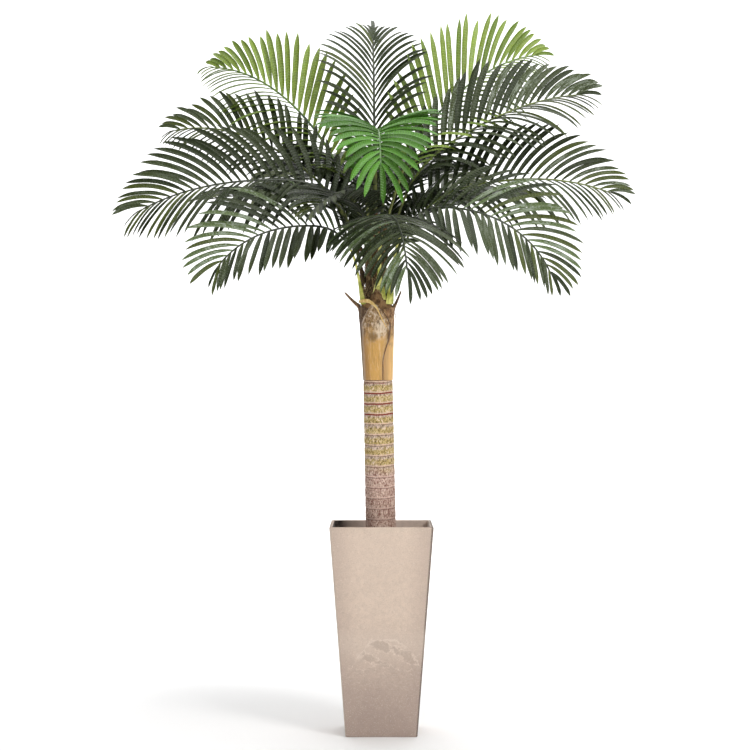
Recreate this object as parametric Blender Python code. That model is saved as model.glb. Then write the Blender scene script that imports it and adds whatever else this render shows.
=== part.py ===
"""An artificial palm, about 2.1 m high, standing in a tall tapered square planter.

Metres, +Z up. The origin is the centre of the planter's flat underside, and the plant's front faces -Y.
A ringed trunk rises from the filling of the planter. Dry leaf boots clasp its top, the fibrous heart stands
on it, and the fronds leave the heart in four tiers: each is a rib with two rows of leaflets.
"""

import math
from typing import NamedTuple

import bmesh
import bpy
from mathutils import Matrix, Quaternion, Vector
from mathutils.bvhtree import BVHTree

GAP = 0.0003
UP = Vector((0.0, 0.0, 1.0))

# Planter
POT_TOP = 0.300
POT_BASE = 0.208
POT_HEIGHT = 0.608
POT_WALL = 0.010
POT_FLOOR = 0.014
POT_CORNER = 0.007
POT_INNER_CORNER = 0.0042
FILL_DEPTH = 0.045
FILL_DOME = 0.004
FILL_SHOULDER = 0.025

# Trunk
TRUNK_LEAN = -0.019  # sideways for each metre up
TRUNK_UPRIGHT_AT = 0.52  # where the leaning axis crosses the planter's middle
TRUNK_FOOT_RADIUS = 0.0445
TRUNK_TOP_RADIUS = 0.0430
TRUNK_BARK_TOP = 1.0260
TRUNK_SHOULDER = 0.002
TRUNK_CORE_RADIUS = 0.0385
TRUNK_CORE_TOP = 1.2000
TRUNK_SIDES = 20
RING_PITCH = 0.0308
RING_DEPTH = 0.0016

# Heart of the crown
HEART_TOP = 1.500
HEART_FOOT_RADIUS = 0.046
HEART_TOP_RADIUS = 0.015
HEART_SIDES = 16

# Ribs, in shares of their length
RIB_STEPS = 90
ELBOW = (0.14, 0.50)  # where the stalk turns over
TURN = (0.08, 0.40)  # where the blade twists
FOOT_END = 0.13
STALK_RINGS = (0.0, 0.04, 0.085, 0.14, 0.20)
BLADE_START = 0.27
RIB_WIDTH = (0.0120, 0.0050)  # at its foot and its tip, in metres
RIB_THICKNESS = (0.0098, 0.0042)
RIB_TAPER = 0.7
FOOT_SAMPLES = 8

# Leaflets
PAIRS = 16
LEAFLET_WIDTH = 0.0215
LEAFLET_THICKNESS = 0.0024
LEAFLET_CLEARANCE = 0.0012
LAST_WIDTH = 0.70  # share of that width at the last pair
FIRST_LENGTH = 0.48  # share of the longest leaflet at the first pair
LONGEST_AT = 0.4  # share of the blade where they are longest
TIP_CURVE = 1.8
TIP_SPREAD = 22.0  # degrees between the last pair and the rib
SAG = (-0.10, 0.44)  # how far a leaflet's run falls from its own line, at its foot and its tip
HANG = 2.0  # further fall of the leaflets under the rib
KNEE = 0.42  # share of a leaflet's length where its run bends
END_SAG = 0.01

COLOURS = {
    "planter": (0.62, 0.53, 0.45),
    "filling": (0.10, 0.08, 0.06),
    "bark": (0.47, 0.41, 0.26),
    "boot": (0.52, 0.36, 0.19),
    "boot_tip": (0.26, 0.16, 0.10),
    "fibre": (0.16, 0.10, 0.06),
    "frond_dark": (0.06, 0.10, 0.07),
    "frond_light": (0.22, 0.38, 0.06),
    "frond_young": (0.08, 0.34, 0.08),
}


class Frond(NamedTuple):
    """Angles are in degrees, and an azimuth of 0 points to +X and of 90 to +Y."""

    name: str
    azimuth: float
    height: float  # of its foot on the heart
    rise: float  # slope of the stalk where it leaves the heart
    elbow: float  # bend in the stretch where the stalk turns over
    droop: float  # further bend, which gathers towards the tip
    length: float
    turn: float  # twist that shows the blade's upper face to the front
    spread: float  # angle between the first leaflets and the rib
    leaf: float  # longest leaflet
    closing: float  # share of that length which the last leaflets lose
    under: float  # length of those under the rib against those over it
    foot: float  # width of the sheathing foot
    colour: str
    bow: float  # how far they curve towards the frond's tip, either way from their middle
    drop: float  # how steeply those under the rib hang
    fan: float = 1.8  # how late the spread closes to that of the last pair
    keel: float = 20.0  # angle by which the two rows rise from the blade's plane
    last: float = 0.3  # reach of the leaflet at the rib's end, as a share of the longest

    @property
    def node(self):
        return "frond_" + self.name


DARK, LIGHT, YOUNG = "frond_dark", "frond_light", "frond_young"
FROND_ROWS = (
    ("low_left", 208, 1.250, 79, 64, 66, 0.64, 35, 58, 0.24, 0.50, 0.62, 0.030, DARK, 6, 1.5),
    ("low_front", 280, 1.262, 86, 72, 80, 0.67, 0, 66, 0.25, 0.60, 1.0, 0.036, DARK, 6, 0.1, 3.0, -12.0, 0.40),
    ("low_right", 330, 1.250, 84, 70, 80, 0.79, 35, 56, 0.24, 0.62, 0.78, 0.030, DARK, 6, 1.3),
    ("low_back_right", 38, 1.262, 76, 60, 14, 0.76, 10, 52, 0.19, 0.60, 1.0, 0.018, DARK, 6, 0.3),
    ("low_back", 92, 1.250, 78, 62, 26, 0.76, 0, 56, 0.19, 0.60, 1.0, 0.018, DARK, 6, 0.3),
    ("low_back_left", 150, 1.262, 83, 64, 26, 0.76, 10, 52, 0.19, 0.60, 1.0, 0.018, DARK, 6, 0.3),
    ("mid_left", 183, 1.322, 76, 65, 40, 0.84, 55, 58, 0.26, 0.55, 1.0, 0.018, DARK, 6, 0.2),
    ("mid_right", 0, 1.322, 66, 44, 44, 0.80, 55, 56, 0.25, 0.66, 1.0, 0.018, DARK, 6, 0.2),
    ("mid_back_right", 62, 1.335, 76, 50, 52, 0.80, 0, 56, 0.21, 0.60, 1.0, 0.016, DARK, 6, 0.3),
    ("mid_back_left", 122, 1.335, 76, 50, 52, 0.80, 0, 56, 0.21, 0.60, 1.0, 0.016, DARK, 6, 0.3),
    ("mid_front", 243, 1.345, 84, 60, 60, 0.50, 0, 60, 0.17, 0.60, 1.0, 0.014, DARK, 6, 0.3),
    ("top_left", 167, 1.385, 62, 14, 58, 0.76, 55, 54, 0.19, 0.60, 1.0, 0.014, DARK, 4, 0.2),
    ("top_right", 10, 1.395, 72, 30, 37, 0.82, 50, 50, 0.24, 0.60, 1.0, 0.014, DARK, 4, 0.2),
    ("top_back_right", 68, 1.410, 78, 46, 46, 0.64, 0, 56, 0.19, 0.60, 1.0, 0.014, DARK, 6, 0.3),
    ("top_back_left", 116, 1.410, 78, 46, 46, 0.64, 0, 56, 0.19, 0.60, 1.0, 0.014, DARK, 6, 0.3),
    ("young_left", 152, 1.450, 66, 4, 56, 0.79, 55, 56, 0.23, 0.74, 1.0, 0.012, LIGHT, 2, 0.1),
    ("young_right", 28, 1.450, 72, 13, 49, 0.82, 55, 54, 0.26, 0.72, 1.0, 0.012, LIGHT, 2, 0.1),
    ("spire", 92, 1.470, 84, 0, 34, 0.65, 0, 48, 0.23, 0.80, 1.0, 0.012, DARK, -9, 0.0, 5.0),
    ("young_front", 272, 1.490, 87, 60, 88, 0.64, 0, 74, 0.20, 0.25, 1.0, 0.012, YOUNG, 8, 0.0, 3.4, 20.0, 0.65),
)
FRONDS = tuple(Frond(*row) for row in FROND_ROWS)


def clear_scene():
    for obj in list(bpy.data.objects):
        bpy.data.objects.remove(obj, do_unlink=True)


def finish(name):
    """A plain Principled material of one of the part's colours."""
    if name in bpy.data.materials:
        return bpy.data.materials[name]
    material = bpy.data.materials.new(name)
    material.use_nodes = True
    shader = material.node_tree.nodes["Principled BSDF"]
    shader.inputs["Base Color"].default_value = (*COLOURS[name], 1.0)
    shader.inputs["Roughness"].default_value = 0.45 if name.startswith("frond") else 0.85
    shader.inputs["Metallic"].default_value = 0.0
    material.diffuse_color = (*COLOURS[name], 1.0)
    return material


def add_object(name, mesh_tool, colour, smooth_angle=35.0):
    """Closes a bmesh into an object with its faces pointing out."""
    bmesh.ops.recalc_face_normals(mesh_tool, faces=mesh_tool.faces)
    mesh = bpy.data.meshes.new(name)
    mesh_tool.to_mesh(mesh)
    mesh_tool.free()
    mesh.shade_smooth()
    mesh.set_sharp_from_angle(angle=math.radians(smooth_angle))
    mesh.materials.append(finish(colour))
    obj = bpy.data.objects.new(name, mesh)
    bpy.context.scene.collection.objects.link(obj)
    return obj


def ease(low, high, value):
    """0 below low and 1 above high, with an even ease between them."""
    share = min(max((value - low) / (high - low), 0.0), 1.0)
    return share * share * (3.0 - 2.0 * share)


def mix(first, second, share):
    return first + (second - first) * share


def join_rings(mesh_tool, rings):
    """Skins a run of closed rings, each with the same number of points, and closes both ends."""
    made = [[mesh_tool.verts.new(point) for point in ring] for ring in rings]
    for lower, upper in zip(made, made[1:]):
        for i in range(len(lower)):
            j = (i + 1) % len(lower)
            mesh_tool.faces.new((lower[i], lower[j], upper[j], upper[i]))
    mesh_tool.faces.new(made[0])
    mesh_tool.faces.new(made[-1])


# Planter


def pot_side(height):
    """Outer side of the planter at a height."""
    return mix(POT_BASE, POT_TOP, height / POT_HEIGHT)


def rounded_square(side, corner, height, steps=3):
    """Points round a square with rounded corners."""
    points = []
    reach = side / 2 - corner
    for quarter in range(4):
        middle = Vector((reach, reach, height))
        turned = Matrix.Rotation(math.radians(90 * quarter), 3, "Z")
        for step in range(steps + 1):
            angle = math.radians(90 * step / steps)
            offset = Vector((corner * math.cos(angle), corner * math.sin(angle), 0.0))
            points.append(turned @ (middle + offset))
    return points


def make_planter():
    outside = [rounded_square(pot_side(z), POT_CORNER, z) for z in (0.0, POT_HEIGHT)]
    inside = [
        rounded_square(pot_side(z) - 2 * POT_WALL, POT_INNER_CORNER, z) for z in (POT_HEIGHT, POT_FLOOR)
    ]
    tool = bmesh.new()
    join_rings(tool, outside + inside)
    add_object("planter", tool, "planter")


def fill_level():
    return POT_HEIGHT - FILL_DEPTH


def make_filling():
    """A gently domed bed that stops short of the walls by the standard gap."""
    inset = 2 * (POT_WALL + 2 * GAP)
    top = fill_level()
    rings = [
        rounded_square(pot_side(height) - inset - 2 * shoulder, POT_INNER_CORNER, height)
        for height, shoulder in ((POT_FLOOR + GAP, 0.0), (top - FILL_DOME, 0.0), (top, FILL_SHOULDER))
    ]
    tool = bmesh.new()
    join_rings(tool, rings)
    add_object("filling", tool, "filling")


# Trunk, boots and heart


def axis_at(height):
    """Centre of the leaning trunk at a height."""
    return Vector((TRUNK_LEAN * (height - TRUNK_UPRIGHT_AT), 0.0, height))


def trunk_radius(height):
    share = (height - fill_level()) / (TRUNK_BARK_TOP - fill_level())
    return mix(TRUNK_FOOT_RADIUS, TRUNK_TOP_RADIUS, share)


def circle(height, radius, sides):
    """Points round the trunk's axis."""
    centre = axis_at(height)
    angles = [math.tau * i / sides for i in range(sides)]
    return [centre + Vector((radius * math.cos(a), radius * math.sin(a), 0.0)) for a in angles]


def make_trunk():
    """Bark in short rings, each swelling between two grooves, and a slim core on into the boots."""
    foot = fill_level() + GAP
    rings = []
    count = int((TRUNK_BARK_TOP - foot) / RING_PITCH)
    for ring in range(count + 1):
        top = TRUNK_BARK_TOP - ring * RING_PITCH
        middle = max(top - RING_PITCH / 2, foot + RING_DEPTH)
        rings.append(circle(top, trunk_radius(top) - RING_DEPTH, TRUNK_SIDES))
        rings.append(circle(middle, trunk_radius(middle), TRUNK_SIDES))
    rings.append(circle(foot, trunk_radius(foot), TRUNK_SIDES))
    rings.reverse()
    rings.append(circle(TRUNK_BARK_TOP + TRUNK_SHOULDER, TRUNK_CORE_RADIUS, TRUNK_SIDES))
    rings.append(circle(TRUNK_CORE_TOP, TRUNK_CORE_RADIUS, TRUNK_SIDES))
    tool = bmesh.new()
    join_rings(tool, rings)
    add_object("trunk", tool, "bark")


class Boot(NamedTuple):
    """A dry leaf base that clasps the top of the trunk. Angles are in degrees."""

    name: str
    azimuth: float
    span: float  # angle that it covers at its widest
    foot_share: float  # share of that span at its foot
    top: float  # height of its upper corners
    peak: float  # height of its point over those corners
    taper: float  # share of the span that is lost towards the point
    layer: int  # 0 under the others, 1 over them


BOOT_BOTTOM = 1.0277
BOOT_SHOULDER = 1.2400
BOOT_ROWS = (0.0, 0.14, 0.28, 0.42, 0.56, 0.68, 0.78, 0.86, 0.93, 1.0)
BOOT_WIDEST = 0.70
BOOT_CLOSES = 0.74
BOOT_THICKNESS = 0.0035
BOOT_LAYER = 0.0046
BOOT_FOOT_RADIUS = 0.0434
BOOT_SHOULDER_RADIUS = 0.0530
BOOTS = (
    Boot("boot_left", 180, 128, 1.00, 1.222, 0.020, 0.10, 0),
    Boot("boot_right", 358, 136, 1.00, 1.222, 0.018, 0.10, 0),
    Boot("boot_front", 262, 98, 0.54, 1.247, 0.003, 0.84, 1),
    Boot("boot_back", 84, 106, 0.60, 1.241, 0.003, 0.80, 1),
)


def boot_point(boot, across, along, depth):
    """A point of a boot: across runs from -1 to 1, along from 0 at its foot to 1 at its upper edge."""
    swelling = math.sin(math.pi / 2 * min(along / BOOT_WIDEST, 1.0))
    closing = 1.0 - boot.taper * max((along - BOOT_CLOSES) / (1.0 - BOOT_CLOSES), 0.0) ** 1.2
    spread = mix(boot.foot_share, 1.0, swelling) * closing
    angle = math.radians(boot.azimuth + across * spread * boot.span / 2)
    height = mix(BOOT_BOTTOM, boot.top, along) + boot.peak * along * (1.0 - across * across)
    flare = (height - BOOT_BOTTOM) / (BOOT_SHOULDER - BOOT_BOTTOM)
    radius = mix(BOOT_FOOT_RADIUS, BOOT_SHOULDER_RADIUS, flare) + boot.layer * BOOT_LAYER - depth
    centre = axis_at(height)
    return centre + Vector((radius * math.cos(angle), radius * math.sin(angle), 0.0))


def make_boot(boot, columns=8):
    """A curved shield: its outer sheet, its inner sheet and the edge between them."""
    tool = bmesh.new()
    sheets = [
        [
            [tool.verts.new(boot_point(boot, 2 * c / columns - 1, along, depth)) for c in range(columns + 1)]
            for along in BOOT_ROWS
        ]
        for depth in (0.0, BOOT_THICKNESS)
    ]
    for sheet in sheets:
        for lower, upper in zip(sheet, sheet[1:]):
            for c in range(columns):
                tool.faces.new((lower[c], lower[c + 1], upper[c + 1], upper[c]))
    outer, inner = (
        sheet[0] + [row[-1] for row in sheet[1:-1]] + sheet[-1][::-1] + [row[0] for row in sheet[-2:0:-1]]
        for sheet in sheets
    )
    for i in range(len(outer)):
        j = (i + 1) % len(outer)
        tool.faces.new((outer[i], outer[j], inner[j], inner[i]))
    add_object(boot.name, tool, "boot")


class Spike(NamedTuple):
    """The torn tip of a boot, standing out from the heart's foot."""

    name: str
    azimuth: float
    reach: float  # of its foot from the trunk's axis
    height: float
    slope: float
    length: float
    radius: float


SPIKES = (
    Spike("boot_tip_left", 184, 0.0515, 1.2442, 44, 0.060, 0.0070),
    Spike("boot_tip_right", 360, 0.0505, 1.2417, 66, 0.054, 0.0060),
)


def make_spike(spike, sides=6, rows=4):
    heading = math.radians(spike.azimuth)
    slope = math.radians(spike.slope)
    outward = Vector((math.cos(heading), math.sin(heading), 0.0))
    along = outward * math.cos(slope) + UP * math.sin(slope)
    side = Vector((-outward.y, outward.x, 0.0))
    up = along.cross(side)
    foot = axis_at(spike.height) + outward * spike.reach
    rings = []
    for row in range(rows):
        share = row / (rows - 1)
        radius = spike.radius * mix(1.0, 0.12, share**1.2)
        centre = foot + along * (spike.length * share)
        rings.append(
            [
                centre
                + side * (radius * 1.3 * math.cos(math.tau * i / sides))
                + up * (radius * 0.7 * math.sin(math.tau * i / sides))
                for i in range(sides)
            ]
        )
    tool = bmesh.new()
    join_rings(tool, rings)
    add_object(spike.name, tool, "boot_tip")


def heart_radius(height):
    share = (height - TRUNK_CORE_TOP) / (HEART_TOP - TRUNK_CORE_TOP)
    return mix(HEART_FOOT_RADIUS, HEART_TOP_RADIUS, max(share, 0.0) ** 0.85)


def make_heart(rows=7):
    """The fibrous core of the crown, standing on the trunk's top."""
    rings = []
    for row in range(rows + 1):
        height = mix(TRUNK_CORE_TOP + GAP, HEART_TOP, row / rows)
        rings.append(circle(height, heart_radius(height), HEART_SIDES))
    tool = bmesh.new()
    join_rings(tool, rings)
    add_object("heart", tool, "fibre")


# Fronds


class Station(NamedTuple):
    """A place on a frond's rib, with its own directions: forward, to its side, and up out of the blade."""

    point: Vector
    forward: Vector
    side: Vector
    up: Vector
    share: float


def rib_line(frond):
    """Stations along the rib, from its foot to its tip."""
    heading = math.radians(frond.azimuth)
    outward = Vector((math.cos(heading), math.sin(heading), 0.0))
    level_side = Vector((-outward.y, outward.x, 0.0))
    front_sense = 1.0 if outward.x >= 0 else -1.0
    point = axis_at(frond.height) + outward * (heart_radius(frond.height) + rib_thickness(0.0))
    stations = []
    for step in range(RIB_STEPS + 1):
        share = step / RIB_STEPS
        bend = frond.elbow * ease(*ELBOW, share) + frond.droop * share**2
        slope = math.radians(frond.rise - bend)
        forward = outward * math.cos(slope) + UP * math.sin(slope)
        twist = math.radians(front_sense * frond.turn * ease(*TURN, share))
        turned = Quaternion(forward, twist)
        side = turned @ level_side
        up = forward.cross(side)
        stations.append(Station(point.copy(), forward, side, up, share))
        point = point + forward * (frond.length / RIB_STEPS)
    return stations


def at_share(stations, share):
    """The station at a share of the rib's length."""
    place = min(max(share, 0.0), 1.0) * RIB_STEPS
    low = min(int(place), RIB_STEPS - 1)
    part = place - low
    first, second = stations[low], stations[low + 1]
    blended = [a.lerp(b, part) for a, b in zip(first[:4], second[:4])]
    return Station(blended[0], *(v.normalized() for v in blended[1:]), share)


def rib_width(frond, share):
    slim = mix(*RIB_WIDTH, share**RIB_TAPER)
    return slim + max(frond.foot - slim, 0.0) * (1.0 - ease(0.0, FOOT_END, share))


def rib_thickness(share):
    return mix(*RIB_THICKNESS, share**RIB_TAPER)


def rib_shares():
    """Where the rib has its rings: the stalk, then a leaflet's base and a gap by turns."""
    shares = list(STALK_RINGS)
    pitch = (1.0 - BLADE_START) / PAIRS
    for pair in range(PAIRS):
        start = BLADE_START + pair * pitch
        shares += [start, start + pitch * 0.5]
    return shares


def leaflet_side(frond, station, sense):
    """The direction straight off the rib, to one side, which rises by the keel angle from the blade."""
    rise = math.radians(frond.keel)
    return station.side * (sense * math.cos(rise)) + station.up * math.sin(rise)


def leaflet_reach(frond, place, sideways):
    """Length of a leaflet at a place from 0, the first pair, to 1, the last."""
    growing = mix(FIRST_LENGTH, 1.0, math.sin(math.pi / 2 * min(place / LONGEST_AT, 1.0)))
    closing = 1.0 - frond.closing * max((place - LONGEST_AT) / (1.0 - LONGEST_AT), 0.0) ** TIP_CURVE
    under = mix(1.0, frond.under, ease(0.0, 0.5, -sideways.z))
    return frond.leaf * growing * closing * under


def leaflet_course(frond, station, sense, place, along):
    """Heading of a leaflet at a share of its length, and the direction out of its face."""
    sideways = leaflet_side(frond, station, sense)
    hanging = max(-sideways.z, 0.0)
    angle = mix(frond.spread, TIP_SPREAD, place**frond.fan)
    aim = math.radians(angle + frond.bow * (1.0 - 2.0 * along))
    out = station.forward * math.cos(aim) + sideways * math.sin(aim)
    across = station.forward * math.sin(aim) - sideways * math.cos(aim)
    fall = (1.0 + HANG * hanging) * mix(*SAG, along) + frond.drop * hanging
    heading = (out - UP * fall).normalized()
    return heading, (across.cross(heading) * sense).normalized()


def leaflet_line(station, sense, frond, place):
    """Middle and tip of a leaflet, with the directions across it and out of it."""
    reach = leaflet_reach(frond, place, leaflet_side(frond, station, sense))
    first = leaflet_course(frond, station, sense, place, KNEE / 2)[0]
    second = leaflet_course(frond, station, sense, place, (1.0 + KNEE) / 2)[0]
    heading, normal = leaflet_course(frond, station, sense, place, KNEE)
    middle = station.point + first * (reach * KNEE)
    tip = middle + second * (reach * (1.0 - KNEE))
    return middle, tip, heading.cross(normal) * sense, normal


def leaflet_shape(lower, upper, sense, frond, place, grow=0.0):
    """Points of a leaflet: four where it leaves the rib, four round its middle, and its tip."""
    station = Station(
        (lower.point + upper.point) / 2, lower.forward, lower.side, lower.up, lower.share
    )
    middle, tip, across, normal = leaflet_line(station, sense, frond, place)
    half_width = LEAFLET_WIDTH / 2 * mix(1.0, LAST_WIDTH, place**2) + grow
    half_thick = LEAFLET_THICKNESS / 2 + grow
    first, second = corners(frond, lower), corners(frond, upper)
    top, bottom = SIDE_CORNERS[sense]
    shape = [first[top], second[top], second[bottom], first[bottom]]
    for wide, thick in ((-1, 1), (1, 1), (1, -1), (-1, -1)):
        shape.append(middle + across * (half_width * wide) + normal * (half_thick * thick))
    shape.append(tip + (tip - middle).normalized() * grow)
    return shape


SIDE_CORNERS = {1: (0, 3), -1: (1, 2)}


def corners(frond, station):
    """The four corners of the rib's section: side and up, then round."""
    half_width = rib_width(frond, station.share) / 2
    half_thick = rib_thickness(station.share) / 2
    return [
        station.point + station.side * (half_width * wide) + station.up * (half_thick * thick)
        for wide, thick in ((1, 1), (-1, 1), (-1, -1), (1, -1))
    ]


LEAFLET_FACES = (
    ((0, 1, 5, 4), (1, 2, 6, 5), (2, 3, 7, 6), (3, 0, 4, 7))
    + ((4, 5, 8), (5, 6, 8), (6, 7, 8), (7, 4, 8))
)


def rib_tree(frond, stations):
    """The bare rib as a search tree."""
    points = []
    faces = []
    for station in stations:
        points += corners(frond, station)
    for ring in range(len(stations) - 1):
        for i in range(4):
            j = (i + 1) % 4
            faces.append((4 * ring + i, 4 * ring + j, 4 * ring + 4 + j, 4 * ring + 4 + i))
    return BVHTree.FromPolygons(points, faces)


def object_tree(name):
    mesh = bpy.data.objects[name].data
    return BVHTree.FromPolygons([v.co for v in mesh.vertices], [tuple(p.vertices) for p in mesh.polygons])


class Leaflet(NamedTuple):
    ring: int
    sense: int
    shape: list


def chosen_leaflets(frond, stations, obstacles):
    """The leaflets of a frond that stay clear of the obstacles and of each other."""
    kept = []
    trees = list(obstacles)
    first = len(stations) - 2 * PAIRS
    for pair in range(PAIRS):
        ring = first + 2 * pair
        lower, upper = stations[ring], stations[ring + 1]
        place = pair / (PAIRS - 1)
        for sense in (1, -1):
            fat = leaflet_shape(lower, upper, sense, frond, place, LEAFLET_CLEARANCE)
            tree = BVHTree.FromPolygons(fat, LEAFLET_FACES)
            if any(tree.overlap(other) for other in trees):
                continue
            kept.append(Leaflet(ring, sense, leaflet_shape(lower, upper, sense, frond, place)))
            trees.append(tree)
    return kept


def make_frond(frond, stations, leaflets):
    """One closed mesh: the rib, with each leaflet grown out of one of its side faces."""
    tool = bmesh.new()
    rings = [[tool.verts.new(point) for point in corners(frond, s)] for s in stations]
    grown = {(leaflet.ring, leaflet.sense) for leaflet in leaflets}
    for ring in range(len(rings) - 1):
        lower, upper = rings[ring], rings[ring + 1]
        for i in range(4):
            j = (i + 1) % 4
            sense = {1: -1, 3: 1}.get(i)
            if (ring, sense) not in grown:
                tool.faces.new((lower[i], lower[j], upper[j], upper[i]))
    tool.faces.new(rings[0])
    last = stations[-1]
    tip = tool.verts.new(last.point + last.forward * (frond.last * frond.leaf) - END_SAG * UP)
    for i in range(4):
        tool.faces.new((rings[-1][i], rings[-1][(i + 1) % 4], tip))
    for leaflet in leaflets:
        lower, upper = rings[leaflet.ring], rings[leaflet.ring + 1]
        top, bottom = SIDE_CORNERS[leaflet.sense]
        base = [lower[top], upper[top], upper[bottom], lower[bottom]]
        verts = base + [tool.verts.new(point) for point in leaflet.shape[4:]]
        for face in LEAFLET_FACES:
            tool.faces.new([verts[i] for i in face])
    add_object(frond.node, tool, frond.colour)


def seated(frond, stations, heart):
    """Slides a rib in until its foot stands the standard gap from the heart."""
    inner = corners(frond, stations[0])[:2]
    edge = [inner[0].lerp(inner[1], i / FOOT_SAMPLES) for i in range(FOOT_SAMPLES + 1)]
    spare = min(heart.find_nearest(point)[3] for point in edge) - GAP
    heading = math.radians(frond.azimuth)
    inward = Vector((-math.cos(heading), -math.sin(heading), 0.0)) * spare
    return [station._replace(point=station.point + inward) for station in stations]


def make_fronds():
    heart = object_tree("heart")
    lines = {}
    for frond in FRONDS:
        line = seated(frond, rib_line(frond), heart)
        lines[frond.name] = [at_share(line, share) for share in rib_shares()]
    ribs = {frond.name: rib_tree(frond, lines[frond.name]) for frond in FRONDS}
    solid = [object_tree(obj.name) for obj in bpy.data.objects if obj.type == "MESH"]
    placed = []
    for frond in FRONDS:
        others = [tree for name, tree in ribs.items() if name != frond.name]
        leaflets = chosen_leaflets(frond, lines[frond.name], solid + others + placed)
        make_frond(frond, lines[frond.name], leaflets)
        placed.append(object_tree(frond.node))


def main():
    clear_scene()
    make_planter()
    make_filling()
    make_trunk()
    for boot in BOOTS:
        make_boot(boot)
    make_heart()
    for spike in SPIKES:
        make_spike(spike)
    make_fronds()


main()
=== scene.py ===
"""Dresses the artificial palm: its planter, bark, boots, fibre and fronds, and the studio round it.

Everything is in metres in the row frame: the origin is the centre of the planter's underside, +Z is up and
the plant's front faces -Y. The fronds grow by the same rule as the solids that they replace, carried to
finer leaflets.
"""

import math
import random
from functools import cache
from typing import NamedTuple

import bpy
from bpy.props import FloatProperty, FloatVectorProperty, IntProperty, PointerProperty
from mathutils import Matrix, Quaternion, Vector, noise


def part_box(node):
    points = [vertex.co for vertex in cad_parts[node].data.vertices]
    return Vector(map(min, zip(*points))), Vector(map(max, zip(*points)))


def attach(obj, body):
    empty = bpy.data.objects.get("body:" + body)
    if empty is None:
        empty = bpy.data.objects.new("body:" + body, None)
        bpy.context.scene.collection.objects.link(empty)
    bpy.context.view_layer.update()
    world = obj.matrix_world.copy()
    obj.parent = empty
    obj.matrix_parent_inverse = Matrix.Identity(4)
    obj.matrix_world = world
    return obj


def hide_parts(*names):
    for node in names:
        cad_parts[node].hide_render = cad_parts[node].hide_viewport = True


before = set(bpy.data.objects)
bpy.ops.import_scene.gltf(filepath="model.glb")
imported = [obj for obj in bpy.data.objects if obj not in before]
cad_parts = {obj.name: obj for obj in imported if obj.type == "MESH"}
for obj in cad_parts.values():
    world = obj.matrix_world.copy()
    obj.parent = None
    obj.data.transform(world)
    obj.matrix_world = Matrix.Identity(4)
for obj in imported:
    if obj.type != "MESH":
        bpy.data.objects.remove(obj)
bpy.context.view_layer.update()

bl_info = {
    "name": "Artificial palm",
    "version": (1, 0, 0),
    "blender": (4, 5, 0),
    "location": "View3D > Sidebar > Palm",
    "description": "Builds the finish of an artificial palm in a planter, piece by piece",
    "category": "Add Mesh",
}

BODY = "root"
UP = Vector((0.0, 0.0, 1.0))
WHITE = (1.0, 1.0, 1.0)


@cache
def node_box(node):
    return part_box(node)


def node_top(node):
    return node_box(node)[1].z


def node_foot(node):
    return node_box(node)[0].z


def mix(first, second, share):
    return first + (second - first) * share


def clamp(value, low=0.0, high=1.0):
    return min(max(value, low), high)


def ease(low, high, value):
    share = clamp((value - low) / (high - low))
    return share * share * (3.0 - 2.0 * share)


def wobble(x, y, z, scale, octaves=2):
    """Seamless noise between about -1 and 1."""
    return noise.fractal(Vector((x, y, z)) * scale, 1.0, 2.0, octaves)


def hump(value, middle, reach):
    """1 at a middle value, falling away smoothly on both sides."""
    return math.exp(-(((value - middle) / reach) ** 2))


def turns(count):
    """The angles of a full turn, in equal steps."""
    return [math.tau * i / count for i in range(count)]


def tint(red, green, blue):
    """A linear colour from the three numbers, 0 to 255, of a paint chart."""
    shares = (value / 255 for value in (red, green, blue))
    return tuple(s / 12.92 if s <= 0.04045 else ((s + 0.055) / 1.055) ** 2.4 for s in shares)


def shade(colour, factor):
    return tuple(channel * factor for channel in colour)


# Settings


def length_setting(name, description, default):
    return FloatProperty(name=name, description=description, default=default, unit="LENGTH")


def number_setting(name, description, default):
    return FloatProperty(name=name, description=description, default=default)


def colour_setting(name, description, default):
    return FloatVectorProperty(name=name, description=description, default=default, subtype="COLOR")


class PlanterSettings(bpy.types.PropertyGroup):
    base_side: length_setting("Base side", "Side of the planter's foot", 0.208)
    wall: length_setting("Wall", "Thickness of the planter's wall", 0.010)
    corner: length_setting("Corner", "Radius of its upright edges", 0.007)
    rim: length_setting("Rim", "Radius that softens the rim", 0.0035)
    clay: colour_setting("Clay", "Colour of the fibre clay", tint(213, 193, 176))
    # The foot's colour also gives the painted shade on the planter's sides
    damp_and_shade: colour_setting("Damp clay", "Colour of its foot", tint(169, 150, 139))
    chips: IntProperty(name="Bark chips", description="Chips on the filling", default=520, min=0)
    chip: length_setting("Chip", "Length of a bark chip", 0.020)


class TrunkSettings(bpy.types.PropertyGroup):
    lean: number_setting("Lean", "Sideways drift of the trunk for each metre up", -0.019)
    foot_radius: length_setting("Foot radius", "Radius where the trunk leaves the filling", 0.0445)
    top_radius: length_setting("Top radius", "Radius under the boots", 0.0430)
    bark_top: length_setting("Bark top", "Height where the bark ends", 1.026)
    ring: length_setting("Ring", "Distance between two leaf scars", 0.0308)
    old_bark: colour_setting("Old bark", "Pink-brown bark low down", tint(206, 174, 158))
    new_bark: colour_setting("New bark", "Olive bark high up", tint(204, 178, 112))


class FrondSettings(bpy.types.PropertyGroup):
    density: FloatProperty(
        name="Density", description="Pairs of leaflets against the table", default=1.0, min=0.2
    )
    width: length_setting("Width", "Widest leaflet", 0.0180)
    thickness: length_setting("Thickness", "Thickness of a leaflet", 0.0007)
    fold: number_setting("Fold", "Depth of the fold along a leaflet, by its width", 0.22)
    dark: colour_setting("Dark leaf", "Old leaflets", tint(48, 57, 28))
    light: colour_setting("Light leaf", "Young leaflets", tint(118, 138, 56))
    fresh: colour_setting("Fresh leaf", "The newest frond", tint(73, 122, 35))


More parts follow.
